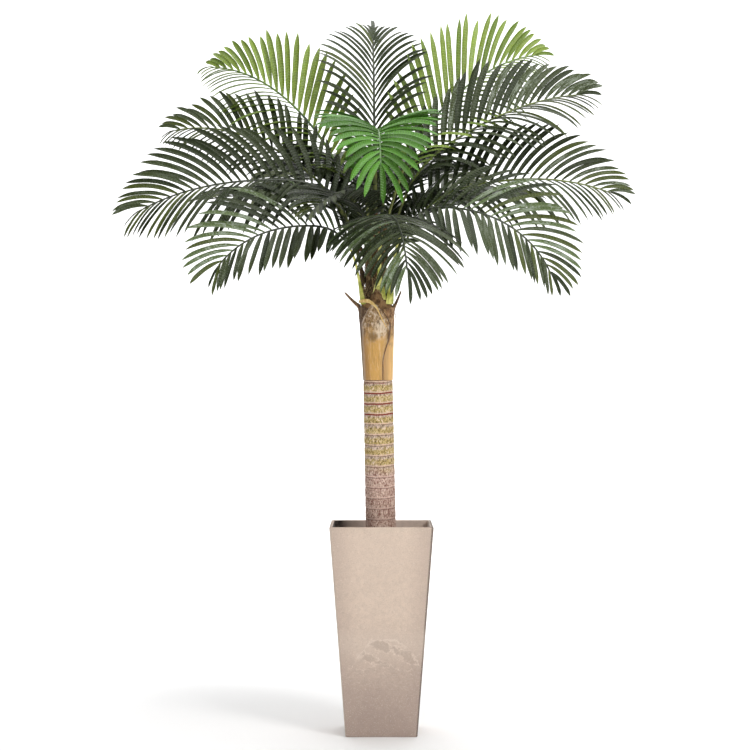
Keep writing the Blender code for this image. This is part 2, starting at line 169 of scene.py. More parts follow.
class StageSettings(bpy.types.PropertyGroup):
    distance: length_setting("Camera distance", "From the plant's middle", 6.0)
    height: length_setting("Camera height", "Above the floor", 1.043)
    lens: number_setting("Lens", "Focal length in millimetres", 98.3)
    floor: colour_setting("Floor", "Colour of the floor", (0.93, 0.93, 0.93))


# Shader building


def operator_pair(operation):
    """The methods of one operator, with the term before it and with the term after it."""

    def plain(term, other):
        return term.finish.maths(operation, term, other)

    def reflected(term, other):
        return term.finish.maths(operation, other, term)

    return plain, reflected


class Term:
    """A socket of a material, so that shader maths reads as plain Python."""

    __add__, __radd__ = operator_pair("ADD")
    __sub__, __rsub__ = operator_pair("SUBTRACT")
    __mul__, __rmul__ = operator_pair("MULTIPLY")
    __truediv__, __rtruediv__ = operator_pair("DIVIDE")

    def __init__(self, finish, socket):
        self.finish = finish
        self.socket = socket

    def __neg__(self):
        return self * -1.0

    def __abs__(self):
        return self.finish.maths("ABSOLUTE", self)


class Finish:
    """One procedural material, built node by node."""

    def __init__(self, name, roughness, specular=0.5):
        self.material = bpy.data.materials.new(name)
        self.material.use_nodes = True
        self.tree = self.material.node_tree
        self.shader = self.tree.nodes["Principled BSDF"]
        self.shader.inputs["Roughness"].default_value = roughness
        self.shader.inputs["Specular IOR Level"].default_value = specular

    def feed(self, socket, value):
        if isinstance(value, Term):
            self.tree.links.new(value.socket, socket)
        elif socket.type == "RGBA":
            socket.default_value = (*tuple(value)[:3], 1.0)
        else:
            socket.default_value = value

    def node(self, kind, settings, inputs, output=0):
        """Adds a node: its settings are set first, then its sockets get their values or links."""
        made = self.tree.nodes.new("ShaderNode" + kind)
        for key, value in settings.items():
            setattr(made, key, value)
        for key, value in inputs.items():
            self.feed(made.inputs[key], value)
        return Term(self, made.outputs[output])

    def maths(self, operation, first, second=0.0):
        """Works on numbers, or on vectors, which a Math node would flatten."""
        kind = "VectorMath" if isinstance(second, Vector) else "Math"
        return self.node(kind, {"operation": operation}, {0: first, 1: second})

    def most(self, first, *others):
        """The greatest of several values."""
        for other in others:
            first = self.maths("MAXIMUM", first, other)
        return first

    def smooth(self, value, low, high):
        """0 below low and 1 above high, eased between them."""
        settings = {"interpolation_type": "SMOOTHSTEP"}
        return self.node("MapRange", settings, {"Value": value, "From Min": low, "From Max": high})

    def line(self, offset, near, far):
        """1 where an offset is within near of 0 on either side, and 0 beyond far."""
        return 1.0 - self.smooth(abs(offset), near, far)

    def band(self, value, rise, fall):
        """1 between two slopes, each given by its ends, and 0 outside them."""
        return self.smooth(value, *rise) * (1.0 - self.smooth(value, *fall))

    def blend(self, share, first, second):
        """A mix of two colours."""
        return self.node("Mix", {"data_type": "RGBA"}, {0: share, 6: first, 7: second}, output=2)

    def patchy(self, field, first, second, edges=(0.35, 0.65)):
        """Two colours that give way to each other as a field of noise crosses the edges."""
        return self.blend(self.smooth(field, *edges), first, second)

    def coats(self, colour, *coats):
        """A colour under coats of others, each given by the share that it covers."""
        for share, coat in coats:
            colour = self.blend(share, colour, coat)
        return colour

    def place(self):
        """The point on the piece, in metres."""
        return self.node("TexCoord", {}, {}, output="Object")

    def axis(self, name):
        return self.node("SeparateXYZ", {}, {0: self.place()}, output=name)

    def mark(self, name):
        """A number that the mesh carries at each of its points."""
        return self.node("Attribute", {"attribute_name": name}, {}, output="Fac")

    def grain(self, scale, detail=2.0, roughness=0.5, vector=None, drawn=1.0):
        """Noise over the piece, or over another vector. Under 1, drawn stretches it upward."""
        vector = vector or self.place()
        if drawn != 1.0:
            vector = vector * Vector((1.0, 1.0, drawn))
        inputs = {"Vector": vector, "Scale": scale, "Detail": detail, "Roughness": roughness}
        return self.node("TexNoise", {}, inputs)

    def raise_by(self, height, distance, strength=1.0):
        """Relief on the surface, from a height between 0 and 1 that stands for a distance."""
        bump = self.node("Bump", {}, {"Height": height, "Distance": distance, "Strength": strength})
        self.feed(self.shader.inputs["Normal"], bump)

    def painted(self, colour, roughness=None):
        """The finished material."""
        self.feed(self.shader.inputs["Base Color"], colour)
        if roughness is not None:
            self.feed(self.shader.inputs["Roughness"], roughness)
        return self.material


# Mesh building


def add_object(name, data):
    made = bpy.data.objects.new(name, data)
    bpy.context.scene.collection.objects.link(made)
    return made


class Shape:
    """Points and faces gathered for one mesh, with marks that its material reads."""

    def __init__(self, *marks):
        self.points = []
        self.faces = []
        self.marks = {name: [] for name in marks}

    def add(self, point, *values):
        self.points.append(tuple(point))
        for name, value in zip(self.marks, values):
            self.marks[name].append(value)
        return len(self.points) - 1

    def skin(self, rings, closed=True):
        """Faces between rows of point numbers, and over the seam of each where they are closed."""
        for lower, upper in zip(rings, rings[1:]):
            count = len(lower)
            for i in range(count if closed else count - 1):
                j = (i + 1) % count
                self.faces.append((lower[i], lower[j], upper[j], upper[i]))

    def cap(self, ring, top):
        self.faces.append(tuple(ring) if top else tuple(reversed(ring)))

    def tube(self, rings):
        """Faces round a row of rings, with a cap on both its ends."""
        self.skin(rings)
        self.cap(rings[0], top=False)
        self.cap(rings[-1], top=True)

    def piece(self, name, material, slot, nodes=(), smooth_angle=40.0):
        """Links the mesh as a piece of the plant: it rides on the body and stands for the named nodes."""
        mesh = bpy.data.meshes.new(name)
        mesh.from_pydata(self.points, [], self.faces)
        mesh.validate()
        mesh.shade_smooth()
        mesh.set_sharp_from_angle(angle=math.radians(smooth_angle))
        mesh.materials.append(material)
        for mark, values in self.marks.items():
            mesh.attributes.new(mark, "FLOAT", "POINT").data.foreach_set("value", values)
        piece = add_object(name, mesh)
        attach(piece, BODY)
        if nodes:
            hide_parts(*nodes)


def border(sheet):
    """The point numbers round a sheet, given as a list of its rows."""
    left, right = [row[0] for row in sheet[-2:0:-1]], [row[-1] for row in sheet[1:-1]]
    return sheet[0] + right + sheet[-1][::-1] + left


# Planter and filling

CLAY_DENT = 0.00035
DENT_SEED = 5.0
FOOT_ROUND = 0.003
ROUND_STEPS = 5
WALL_ROWS = 26
INNER_ROWS = 8
INNER_CORNER = 0.6  # radius of the inside's edges, as a share of the outside's
WALL_SLOPE = 0.0757  # outward, for each metre up
FILL_SINK = 0.002
BED_CELLS = 44
BED_DROP = 0.004
TRUNK_CLEAR = 0.050
CHIP_CLEAR = 0.012  # between the middle of a chip and the planter's wall
# Damp patches under the lime line: x, height, half width, half height and slant of each
PATCHES = (
    (-0.004, 0.267, 0.031, 0.014, -0.25),
    (0.008, 0.256, 0.013, 0.012, 0.00),
    (0.044, 0.252, 0.019, 0.013, -0.35),
    (0.078, 0.233, 0.025, 0.016, -0.55),
    (-0.038, 0.231, 0.026, 0.015, -0.20),
    (-0.002, 0.213, 0.022, 0.008, -0.30),
)


def quarter(steps):
    """The angles of a quarter turn, from 0, in equal steps."""
    return [math.radians(90 * step / steps) for step in range(steps + 1)]


def rounded_square(side, corner, along=12, round_steps=6):
    """Flat points round a square with rounded corners, close together for the clay's unevenness."""
    points = []
    reach = side / 2 - corner
    for number in range(4):
        turned = Matrix.Rotation(math.radians(90 * number), 2)
        for angle in quarter(round_steps):
            rounding = Vector((math.cos(angle), math.sin(angle))) * corner
            points.append(turned @ (Vector((reach, reach)) + rounding))
        for step in range(1, along):
            points.append(turned @ Vector((mix(reach, -reach, step / along), side / 2)))
    return points


def pot_profile(pot):
    """(height, side, corner, inside) up from the foot, over the rim and down the inside."""
    low, high = node_box("planter")
    shoulder = high.z - pot.rim
    floor = node_foot("filling") - FILL_SINK
    profile = []

    def add(height, inset, inside=None):
        side = mix(pot.base_side, high.x - low.x, height / high.z) - 2 * inset
        corner = pot.corner if inside is None else pot.corner * INNER_CORNER
        profile.append((height, side, corner, inside or 0.0))

    for angle in quarter(ROUND_STEPS):
        add(FOOT_ROUND * (1 - math.cos(angle)), FOOT_ROUND * (1 - math.sin(angle)))
    for row in range(1, WALL_ROWS):
        add(mix(FOOT_ROUND, shoulder, row / WALL_ROWS), 0.0)
    for angle in quarter(ROUND_STEPS):
        add(shoulder + pot.rim * math.sin(angle), pot.rim * (1 - math.cos(angle)))
    for angle in quarter(ROUND_STEPS):
        inset = mix(pot.wall - pot.rim, pot.wall, math.sin(angle))
        add(shoulder + pot.rim * math.cos(angle), inset, math.sin(angle) ** 4)
    for row in range(1, INNER_ROWS + 1):
        add(mix(shoulder, floor, row / INNER_ROWS), pot.wall, 1.0)
    return profile


def make_planter(pot):
    shape = Shape("inside")
    rings = []
    for height, side, corner, inside in pot_profile(pot):
        ring = []
        for flat in rounded_square(side, corner):
            dent = CLAY_DENT * wobble(flat.x + DENT_SEED, flat.y, height, 14.0)
            ring.append(shape.add((*(flat + flat.normalized() * dent), height), inside))
        rings.append(ring)
    shape.tube(rings)
    shape.piece("planter_shell", clay_finish(pot), "planter", ["planter"])


def patch_field(side, height, patch):
    """Rises from below 0 outside a slanting oval to 1 in its middle."""
    x, z, half_width, half_height, slant = patch
    across = (side - x) * (1.0 / half_width)
    up = (height - z - (side - x) * slant) * (1.0 / half_height)
    return 1.0 - across * across - up * up


def lime_marks(finish, side, height, soft):
    """Shares of the damp patches, and of the pale lime lines round and under them."""
    warp = (finish.grain(36.0, 5.0, 0.7) - 0.5) * 0.064
    lift = (finish.grain(58.0, 4.0, 0.7) - 0.5) * 0.040
    moved_side, moved_height = side + warp, height + lift
    field = finish.most(*(patch_field(moved_side, moved_height, patch) for patch in PATCHES))
    outline = finish.line(field + 0.10, 0.06, 0.34)
    bow = finish.most(moved_side - 0.020, 0.0)
    fall = finish.most(-moved_side - 0.024, 0.0)
    crest = 0.2830 - bow * bow * 9.5 - fall * 1.25
    crest_line = finish.line(height + lift * 0.5 - crest, 0.0006, 0.0036)
    crest_line = crest_line * finish.smooth(height, 0.190, 0.205)
    shelf = 0.2040 + finish.maths("SINE", moved_side * 46.0 + 1.5) * 0.0085
    shelf_line = finish.line(moved_height - shelf, 0.0005, 0.0032)
    shelf_line = shelf_line * finish.line(side - 0.008, 0.085, 0.105) * 0.7
    ripple = finish.line(finish.grain(24.0, 3.0, drawn=3.4) - 0.5, 0.004, 0.022)
    ripples = ripple * finish.band(height, (0.13, 0.17), (0.19, 0.21)) * 0.35
    lines = finish.most(crest_line, shelf_line, outline) * finish.smooth(soft, 0.32, 0.52)
    return finish.smooth(field, 0.0, 0.7), finish.most(lines, ripples)


def clay_finish(pot):
    """Fibre clay: fine speckle and soft blotches, a darker foot, and pale lime tide marks over it; painted
    light on its top and left edge, painted shade on its sides, right edge and inside.
    """
    finish = Finish("fibre_clay", 0.78)
    height, side = finish.axis("Z"), finish.axis("X")
    speckle = finish.grain(300.0, 3.0, 0.75)
    soft = finish.grain(70.0, 4.0, 0.6)
    blotch = finish.smooth(soft, 0.3, 0.7)
    tide = height + (finish.grain(9.0, 3.0) - 0.5) * 0.10
    offset = side / (pot.base_side / 2 + height * WALL_SLOPE)
    patches, lime = lime_marks(finish, side, height, soft)
    clay = finish.blend(blotch, shade(pot.clay, 0.95), shade(pot.clay, 1.05))
    # The inside wall: a painted shadow, dark at its left, giving way to the clay's colour at its right
    inside_shadow, inside_clay = tint(44, 36, 32), tint(208, 190, 178)
    shadowed_inside = finish.patchy(side, inside_shadow, inside_clay, edges=(-0.125, -0.085))
    shadowed_inside = finish.blend(blotch * 0.4, shadowed_inside, shade(inside_clay, 0.7))
    colour = finish.coats(
        finish.blend(blotch, shade(pot.damp_and_shade, 0.96), shade(pot.damp_and_shade, 1.05)),
        (finish.smooth(tide, 0.02, 0.40), clay),
        # Lighter towards the top: painted light
        (finish.smooth(height, 0.40, 0.60) * 0.4, shade(pot.clay, 1.07)),
        # Darker towards the sides, in the foot's colour: painted shade
        (finish.smooth(abs(offset), 0.45, 1.0) * 0.45, shade(pot.damp_and_shade, 1.06)),
        # A dark line along the right edge: painted shadow on the corner that turns away from the light
        (finish.band(offset, (0.945, 0.968), (0.992, 0.999)) * 0.78, tint(84, 74, 68)),
        # A light line along the left edge: painted highlight on the rounded corner
        (finish.smooth(offset, -0.965, -0.985) * 0.5, tint(222, 206, 192)),
        (finish.band(height, (0.20, 0.27), (0.28, 0.33)) * 0.35, tint(214, 197, 182)),
        (patches * 0.58, tint(178, 159, 145)),
        (lime * 0.55, tint(226, 211, 197)),
        (finish.smooth(speckle, 0.54, 0.68) * 0.36, tint(166, 144, 128)),
        (finish.smooth(speckle, 0.46, 0.30) * 0.34, tint(240, 228, 216)),
        # Painted shadow over the inside wall
        (finish.mark("inside"), shadowed_inside),
    )
    finish.raise_by(speckle * 0.6 + soft * 0.2 + lime * 0.5, 0.0006, 0.5)
    return finish.painted(colour, 0.70 + soft * 0.16)


def make_filling(pot):
    """A bed of dark crumbs, and loose bark chips lying on it."""
    dice = random.Random(11)
    low, high = node_box("filling")
    half = (high.x - low.x) / 2 - 0.0005
    narrowing = (pot.base_side / 2 - pot.wall - 0.001) / half
    places = [mix(-half, half, cell / BED_CELLS) for cell in range(BED_CELLS + 1)]
    bed = Shape()
    rows = []
    for y in places:
        row = []
        for x in places:
            lift = 0.0022 * wobble(x, y, 0.0, 60.0) + 0.0030 * wobble(x, y, 3.0, 15.0)
            row.append(bed.add((x, y, high.z - BED_DROP + lift)))
        rows.append(row)
    bed.skin(rows, closed=False)
    edge = border(rows)
    above = [bed.points[number] for number in edge]
    foot = [bed.add((x * narrowing, y * narrowing, low.z)) for x, y, _ in above]
    bed.skin([foot, edge])
    bed.cap(foot, top=False)
    bed.piece("filling_bed", crumb_finish(), "filling", ["filling"])
    chips = Shape()
    for _ in range(pot.chips):
        spot = Vector((dice.uniform(-1, 1), dice.uniform(-1, 1))) * (half - CHIP_CLEAR)
        if spot.length >= TRUNK_CLEAR:
            centre = Vector((spot.x, spot.y, high.z + dice.uniform(-0.003, 0.004)))
            add_chip(chips, centre, pot.chip * dice.uniform(0.5, 1.2), dice)
    chips.piece("bark_chips", chip_finish(), "filling", smooth_angle=25.0)


def add_chip(shape, centre, length, dice):
    """A bark chip: an uneven slab with eight corners."""
    turned = Quaternion(UP, dice.uniform(0, math.tau))
    turned = turned @ Quaternion(Vector((1, 0, 0)), dice.uniform(-0.5, 0.5))
    turned = turned @ Quaternion(Vector((0, 1, 0)), dice.uniform(-0.35, 0.35))
    size = Vector((length, length * dice.uniform(0.35, 0.7), length * dice.uniform(0.15, 0.3))) / 2
    layers = []
    for z in (-1, 1):
        layer = []
        for x, y in ((-1, -1), (1, -1), (1, 1), (-1, 1)):
            rough = Vector([dice.uniform(0.6, 1.1) for _ in range(3)])
            layer.append(shape.add(centre + turned @ (Vector((x, y, z)) * size * rough)))
        layers.append(layer)
    shape.tube(layers)


def crumb_finish():
    finish = Finish("dark_crumbs", 0.95)
    crumb = finish.node("TexVoronoi", {}, {"Vector": finish.place(), "Scale": 260.0})
    finish.raise_by(crumb, 0.002)
    return finish.painted(finish.blend(crumb, tint(36, 28, 22), tint(74, 58, 44)))


def chip_finish():
    finish = Finish("bark_chips", 0.88)
    streak = finish.grain(90.0, 4.0, 0.7, drawn=5.0)
    colour = finish.patchy(finish.grain(45.0), tint(66, 48, 36), tint(120, 92, 68))
    finish.raise_by(streak, 0.0015)
    return finish.painted(finish.blend(finish.smooth(streak, 0.45, 0.7) * 0.6, colour, tint(46, 34, 26)))


# Trunk

TRUNK_UPRIGHT_AT = 0.52
TRUNK_SINK = 0.004
GROOVE = 0.0016
SCAR_DIP = 0.0042  # how much lower the leaf scars lie at the front than at the sides
SCAR_TILT = 0.0012
TRUNK_COLUMNS = 132
ROW_STEP = 0.00125
CORE_RADIUS = 0.0385


def axis_at(height):
    """Centre of the leaning trunk at a height."""
    lean = bpy.context.scene.palm_trunk.lean
    return Vector((lean * (height - TRUNK_UPRIGHT_AT), 0.0, height))


def heading(angle):
    """The level direction of an angle."""
    return Vector((math.cos(angle), math.sin(angle), 0.0))


def off_axis(height, angle, reach):
    """The point beside the trunk's axis at a height, in the direction of an angle."""
    return axis_at(height) + heading(angle) * reach


def bark_relief(trunk, angle, height, radius):
    """How far the bark stands in or out, and how many leaf scars lie over the point."""
    x, y = radius * math.cos(angle), radius * math.sin(angle)
    dip = SCAR_DIP * math.sin(angle) + SCAR_TILT * math.cos(angle)
    wavy = height - dip + 0.0012 * wobble(x, y, height * 0.6, 26.0, 3)
    scars = (trunk.bark_top - wavy) / trunk.ring
    share = scars % 1.0
    groove = -GROOVE * (1.0 - math.sin(math.pi * share) ** 0.5)
    lip = 0.0010 * hump(share, 0.90, 0.06)
    lean_left = wobble(angle * 7.0 + height * 90.0, height * 26.0, 1.0, 1.0)
    lean_right = wobble(angle * 7.0 - height * 90.0, height * 26.0, 7.0, 1.0)
    mat = 0.0006 * max(lean_left, lean_right)
    lump = 0.0005 * wobble(x, y, height, 60.0)
    return groove + lip + mat + lump, scars


def make_trunk(trunk):
    """The ringed bark, and the slim core that carries the crown above it."""
    foot = node_foot("trunk") - TRUNK_SINK
    shape = Shape("scars")
    rings = []
    rows = int((trunk.bark_top - foot) / ROW_STEP)
    for row in range(rows + 1):
        height = mix(foot, trunk.bark_top, row / rows)
        radius = mix(trunk.foot_radius, trunk.top_radius, row / rows)
        ring = []
        for angle in turns(TRUNK_COLUMNS):
            relief, scars = bark_relief(trunk, angle, height, radius)
            ring.append(shape.add(off_axis(height, angle, radius + relief), scars))
        rings.append(ring)
    for height in (trunk.bark_top + 0.002, node_top("trunk")):
        rings.append([shape.add(off_axis(height, angle, CORE_RADIUS), 0.0) for angle in turns(TRUNK_COLUMNS)])
    shape.tube(rings)
    shape.piece("ringed_bark", bark_finish(trunk), "bark", ["trunk"], smooth_angle=60.0)


def bark_finish(trunk):
    """Matted fibre, pinkish low down and olive under the boots, with a line at every leaf scar."""
    finish = Finish("ringed_bark", 0.86)
    height = finish.axis("Z")
    share = finish.maths("FRACT", finish.mark("scars"))
    mat = finish.grain(230.0, 3.0, 0.8, drawn=0.55)
    coarse = finish.grain(110.0, 3.0, 0.6)
    weave = finish.node(
        "TexWave",
        {"wave_type": "BANDS", "bands_direction": "DIAGONAL"},
        {"Vector": finish.place(), "Scale": 62.0, "Distortion": 9.0, "Detail": 3.0, "Detail Scale": 2.2},
    )
    high = finish.smooth(height + (finish.grain(22.0, 2.0, drawn=0.2) - 0.5) * 0.06, 0.75, 0.80)
    grey_top = 1.0 - finish.smooth(share + (coarse - 0.5), 0.16, 0.46)
    reddish = finish.band(height, (0.915, 0.925), (1.018, 1.021))
    dark_fleck = finish.blend(high, tint(116, 62, 50), tint(92, 70, 40))
    colour = finish.coats(
        finish.blend(high, trunk.old_bark, trunk.new_bark),
        (grey_top * high * 0.75, tint(212, 188, 178)),
        (finish.smooth(mat, 0.51, 0.60) * 0.85, dark_fleck),
        (finish.smooth(mat, 0.47, 0.38) * 0.75, tint(248, 228, 212)),
        (finish.smooth(coarse, 0.54, 0.66) * 0.35, dark_fleck),
        (finish.smooth(weave, 0.6, 0.95) * 0.15, tint(112, 86, 66)),
        (finish.line(share - 0.92, 0.03, 0.09) * 0.65, tint(236, 204, 190)),
        (finish.line(share - 0.04, 0.015, 0.07) * 0.60, tint(112, 78, 68)),
        (finish.line(share - 0.06, 0.05, 0.11) * reddish * 0.92, tint(134, 42, 38)),
    )
    finish.raise_by(mat * 0.6 + coarse * 0.4, 0.0012, 0.8)
    return finish.painted(colour)


# Boots, their tips and the ribbon


class Boot(NamedTuple):
    """A dry leaf base that clasps the top of the trunk. Angles are in degrees."""

    name: str
    azimuth: float
    span: float  # angle that it covers at its widest
    foot_share: float  # share of that span at its foot
    top: float  # height of its upper corners
    peak: float  # height of its point over those corners
    taper: float  # share of the span that is lost towards the point
    layer: int  # 0 under the others, 1 over them


class Spike(NamedTuple):
    """The torn tip of a boot, standing out from the heart's foot. Angles are in degrees."""

    name: str
    azimuth: float
    reach: float  # of its foot from the trunk's axis
    height: float
    slope: float
    length: float
    radius: float


BOOTS = (
    Boot("boot_left", 180, 128, 1.00, 1.236, 0.008, 0.04, 0),
    Boot("boot_right", 358, 136, 1.00, 1.234, 0.008, 0.04, 0),
    Boot("boot_front", 262, 98, 0.54, 1.247, 0.003, 0.84, 1),
    Boot("boot_back", 84, 106, 0.60, 1.241, 0.003, 0.80, 1),
)
SPIKES = (
    Spike("boot_tip_left", 184, 0.0515, 1.2442, 44, 0.060, 0.0070),
    Spike("boot_tip_right", 360, 0.0505, 1.2417, 66, 0.054, 0.0060),
)
BOOT_SHOULDER = 1.2400
BOOT_THICKNESS = 0.0026
BOOT_LAYER = 0.0046
BOOT_FOOT_RADIUS = 0.0434
BOOT_SHOULDER_RADIUS = 0.0530
BOOT_WIDEST = 0.70
BOOT_CLOSES = 0.74
BOOT_COLUMNS = 34
BOOT_ROWS = 64
# Warm lower part; mottled upper part, which also gives the painted shade at the side edges; and pale for fine
# streaks and painted highlights
HUSK_TINTS = {
    "boot_front": (tint(216, 167, 92), tint(186, 150, 108), tint(232, 214, 190)),
    "boot_right": (tint(244, 198, 130), tint(166, 120, 80), tint(214, 182, 142)),
    "boot_left": (tint(146, 124, 90), tint(86, 58, 36), tint(132, 106, 78)),
    "boot_back": (tint(200, 152, 90), tint(158, 126, 94), tint(200, 178, 150)),
}
SPIKE_ROOT_ROWS = 5
SPIKE_ROWS = 16
SPIKE_SIDES = 12
# The ribbon's run down over the boots: x, height and half width
RIBBON = (
    (-0.0655, 1.2570, 0.0042),
    (-0.0500, 1.2588, 0.0052),
    (-0.0360, 1.2576, 0.0058),
    (-0.0240, 1.2495, 0.0056),
    (-0.0125, 1.2370, 0.0052),
    (-0.0050, 1.2200, 0.0046),
    (0.0040, 1.2010, 0.0036),
    (0.0110, 1.1870, 0.0022),
    (0.0160, 1.1800, 0.0008),
)
RIBBON_STEPS = 6
RIBBON_THICKNESS = 0.0012
RIBBON_CLEAR = 0.0022


def boot_radius(height):
    low = node_foot("boot_front")
    return mix(BOOT_FOOT_RADIUS, BOOT_SHOULDER_RADIUS, (height - low) / (BOOT_SHOULDER - low))


def boot_point(boot, across, along, depth):
    """A point of a boot: across runs from -1 to 1, along from 0 at its foot to 1 at its upper edge."""
    swelling = math.sin(math.pi / 2 * min(along / BOOT_WIDEST, 1.0))
    closing = 1.0 - boot.taper * max((along - BOOT_CLOSES) / (1.0 - BOOT_CLOSES), 0.0) ** 1.2
    foot_share, widest = boot.foot_share, 1.0
    if boot.name == "boot_front":  # its left edge runs straight and its right edge flares
        foot_share, widest = (1.05, 1.0) if across < 0 else (0.56, 1.14)
        swelling = swelling if across < 0 else ease(0.22, 0.68, along)
    spread = mix(foot_share, widest, swelling) * closing
    ragged = 0.012 * wobble(across, along * 9.0, boot.azimuth, 1.0) * abs(across) ** 6
    angle = math.radians(boot.azimuth + across * (spread + ragged) * boot.span / 2)
    height = mix(node_foot(boot.name), boot.top, along) + boot.peak * along * (1.0 - across * across)
    ridge = 0.0006 * wobble(angle * 9.0, height * 4.0, boot.azimuth, 1.0)
    upper = ease(0.50, 0.92, along)
    crease = 0.0016 * upper * wobble(angle * 7.0 + abs(across) * 2.0, height * 26.0, 2.0, 1.0, 3)
    belly = 0.0035 * (1.0 - across * across) * math.sin(math.pi * clamp(along) ** 1.3)
    lip = 0.0010 * hump(abs(across), 0.93, 0.05)
    curl = 0.0016 * abs(across) ** 10
    radius = boot_radius(height) + boot.layer * (BOOT_LAYER + belly) + ridge + crease + lip - curl - depth
    return off_axis(height, angle, radius)


def make_boots():
    for boot in BOOTS:
        shape = Shape("across", "along")
        sheets = []
        for depth in (0.0, BOOT_THICKNESS):
            sheet = []
            for along in (row / BOOT_ROWS for row in range(BOOT_ROWS + 1)):
                line = []
                for across in (2 * column / BOOT_COLUMNS - 1 for column in range(BOOT_COLUMNS + 1)):
                    line.append(shape.add(boot_point(boot, across, along, depth), across, along))
                sheet.append(line)
            sheets.append(sheet)
        outer, inner = sheets
        shape.skin(outer, closed=False)
        shape.skin([line[::-1] for line in inner], closed=False)
        shape.skin([border(inner), border(outer)])
        shape.piece(boot.name + "_husk", husk_finish(boot), "boot", [boot.name], smooth_angle=50.0)


def husk_spot(finish, marks, place, size, ragged):
    """Share that is 1 inside an oval on the husk and 0 well outside it, with a ragged edge."""
    across, along = ((mark - middle) * (1.0 / reach) for mark, middle, reach in zip(marks, place, size))
    return finish.smooth(across * across + along * along + ragged, 2.6, 0.0)


def front_coats(finish, marks, mottle, broad, crease, upper, pale):
    """The front boot's own marks: a painted gleam, a bruise, painted shade on its left and painted shadows
    along its edges, where it lies over the boots under it.
    """
    across = marks[0]
    ragged = (mottle - 0.5) * 1.6
    gleam = husk_spot(finish, marks, (0.30, 0.66), (0.30, 0.10), ragged) * finish.smooth(crease, 0.66, 0.44)
    bruise = husk_spot(finish, marks, (-0.12, 0.57), (0.24, 0.050), ragged * 1.5)
    shaded = finish.smooth(-across + (broad - 0.5) * 0.5, 0.10, 0.70) * (1.0 - upper)
    rim = finish.smooth(-across + (mottle - 0.5) * 0.20, 0.66, 0.92)
    # Painted shadows along both edges, widest in a wedge at the right, where the boot lies over its
    # neighbours
    shadow_wedge = husk_spot(finish, marks, (0.98, 0.60), (0.20, 0.075), ragged * 0.2)
    right_edge_shadow = finish.most(finish.smooth(across + (mottle - 0.5) * 0.08, 0.80, 0.90), shadow_wedge)
    left_edge_shadow = finish.smooth(-across + (mottle - 0.5) * 0.06, 0.93, 0.97)
    return (
        (gleam * 0.85, shade(pale, 1.08)),
        (bruise * 0.62, tint(100, 76, 54)),
        (shaded * 0.45, tint(176, 122, 66)),
        (rim * 0.60, tint(196, 176, 160)),
        (right_edge_shadow * 0.92, tint(74, 42, 22)),
        (left_edge_shadow * 0.8, tint(92, 62, 40)),
    )


def husk_finish(boot):
    """Dry husk: warm below, mottled and creased above, with fine streaks and darker or paler edges; the
    greyer side edges and the dark and pale creases are painted shade and highlights.
    """
    warm, grey, pale = HUSK_TINTS[boot.name]
    finish = Finish(boot.name + "_husk", 0.62)
    marks = across, along = finish.mark("across"), finish.mark("along")
    streak = finish.grain(300.0, 3.0, 0.7, drawn=0.07)
    broad = finish.grain(80.0, 2.0, drawn=0.14)
    mottle = finish.grain(110.0, 4.0, 0.75)
    crease = finish.grain(84.0, 4.0, 0.75, drawn=0.70)
    blot = finish.grain(42.0, 2.0)
    upper = finish.smooth(along + (mottle - 0.5) * 0.30 + (blot - 0.5) * 0.35, 0.46, 0.76)
    own = ()
    if boot.name == "boot_front":
        own = front_coats(finish, marks, mottle, broad, crease, upper, pale)
    if boot.name == "boot_right":
        shadow = husk_spot(finish, marks, (-0.64, 0.66), (0.10, 0.11), (mottle - 0.5) * 0.6)
        own = ((shadow * 0.85, tint(84, 50, 28)),)
    # Each husk goes greyer towards its side edges: painted shade where it curves away
    colour = finish.coats(
        finish.blend(finish.smooth(abs(across), 0.35, 0.9) * 0.6, warm, grey),
        (upper, grey),
        (finish.smooth(broad, 0.50, 0.70) * 0.45, shade(warm, 0.55)),
        (finish.smooth(blot, 0.52, 0.66) * upper * 0.60, tint(122, 92, 62)),
        # Dark and pale creases: painted shade in the folds and painted highlights on them
        (finish.smooth(crease, 0.51, 0.58) * upper * 0.80, tint(98, 70, 46)),
        (finish.smooth(crease, 0.48, 0.42) * upper * 0.80, pale),
        *own,
        (finish.smooth(streak, 0.50, 0.68) * 0.35, shade(warm, 0.50)),
        (finish.smooth(streak, 0.46, 0.34) * 0.30, shade(pale, 1.05)),
    )
    finish.raise_by(streak * 0.4 + crease * 0.6, 0.0022, 0.7)
    return finish.painted(colour, 0.52 + mottle * 0.2)


def grained_finish(name, roughness, grain, low, high, relief, edges=(0.35, 0.65)):
    """A plain finish of two colours that follow one grain, with its relief."""
    finish = Finish(name, roughness)
    field = finish.grain(*grain[:2], drawn=grain[2])
    finish.raise_by(field, relief)
    return finish.painted(finish.patchy(field, low, high, edges))


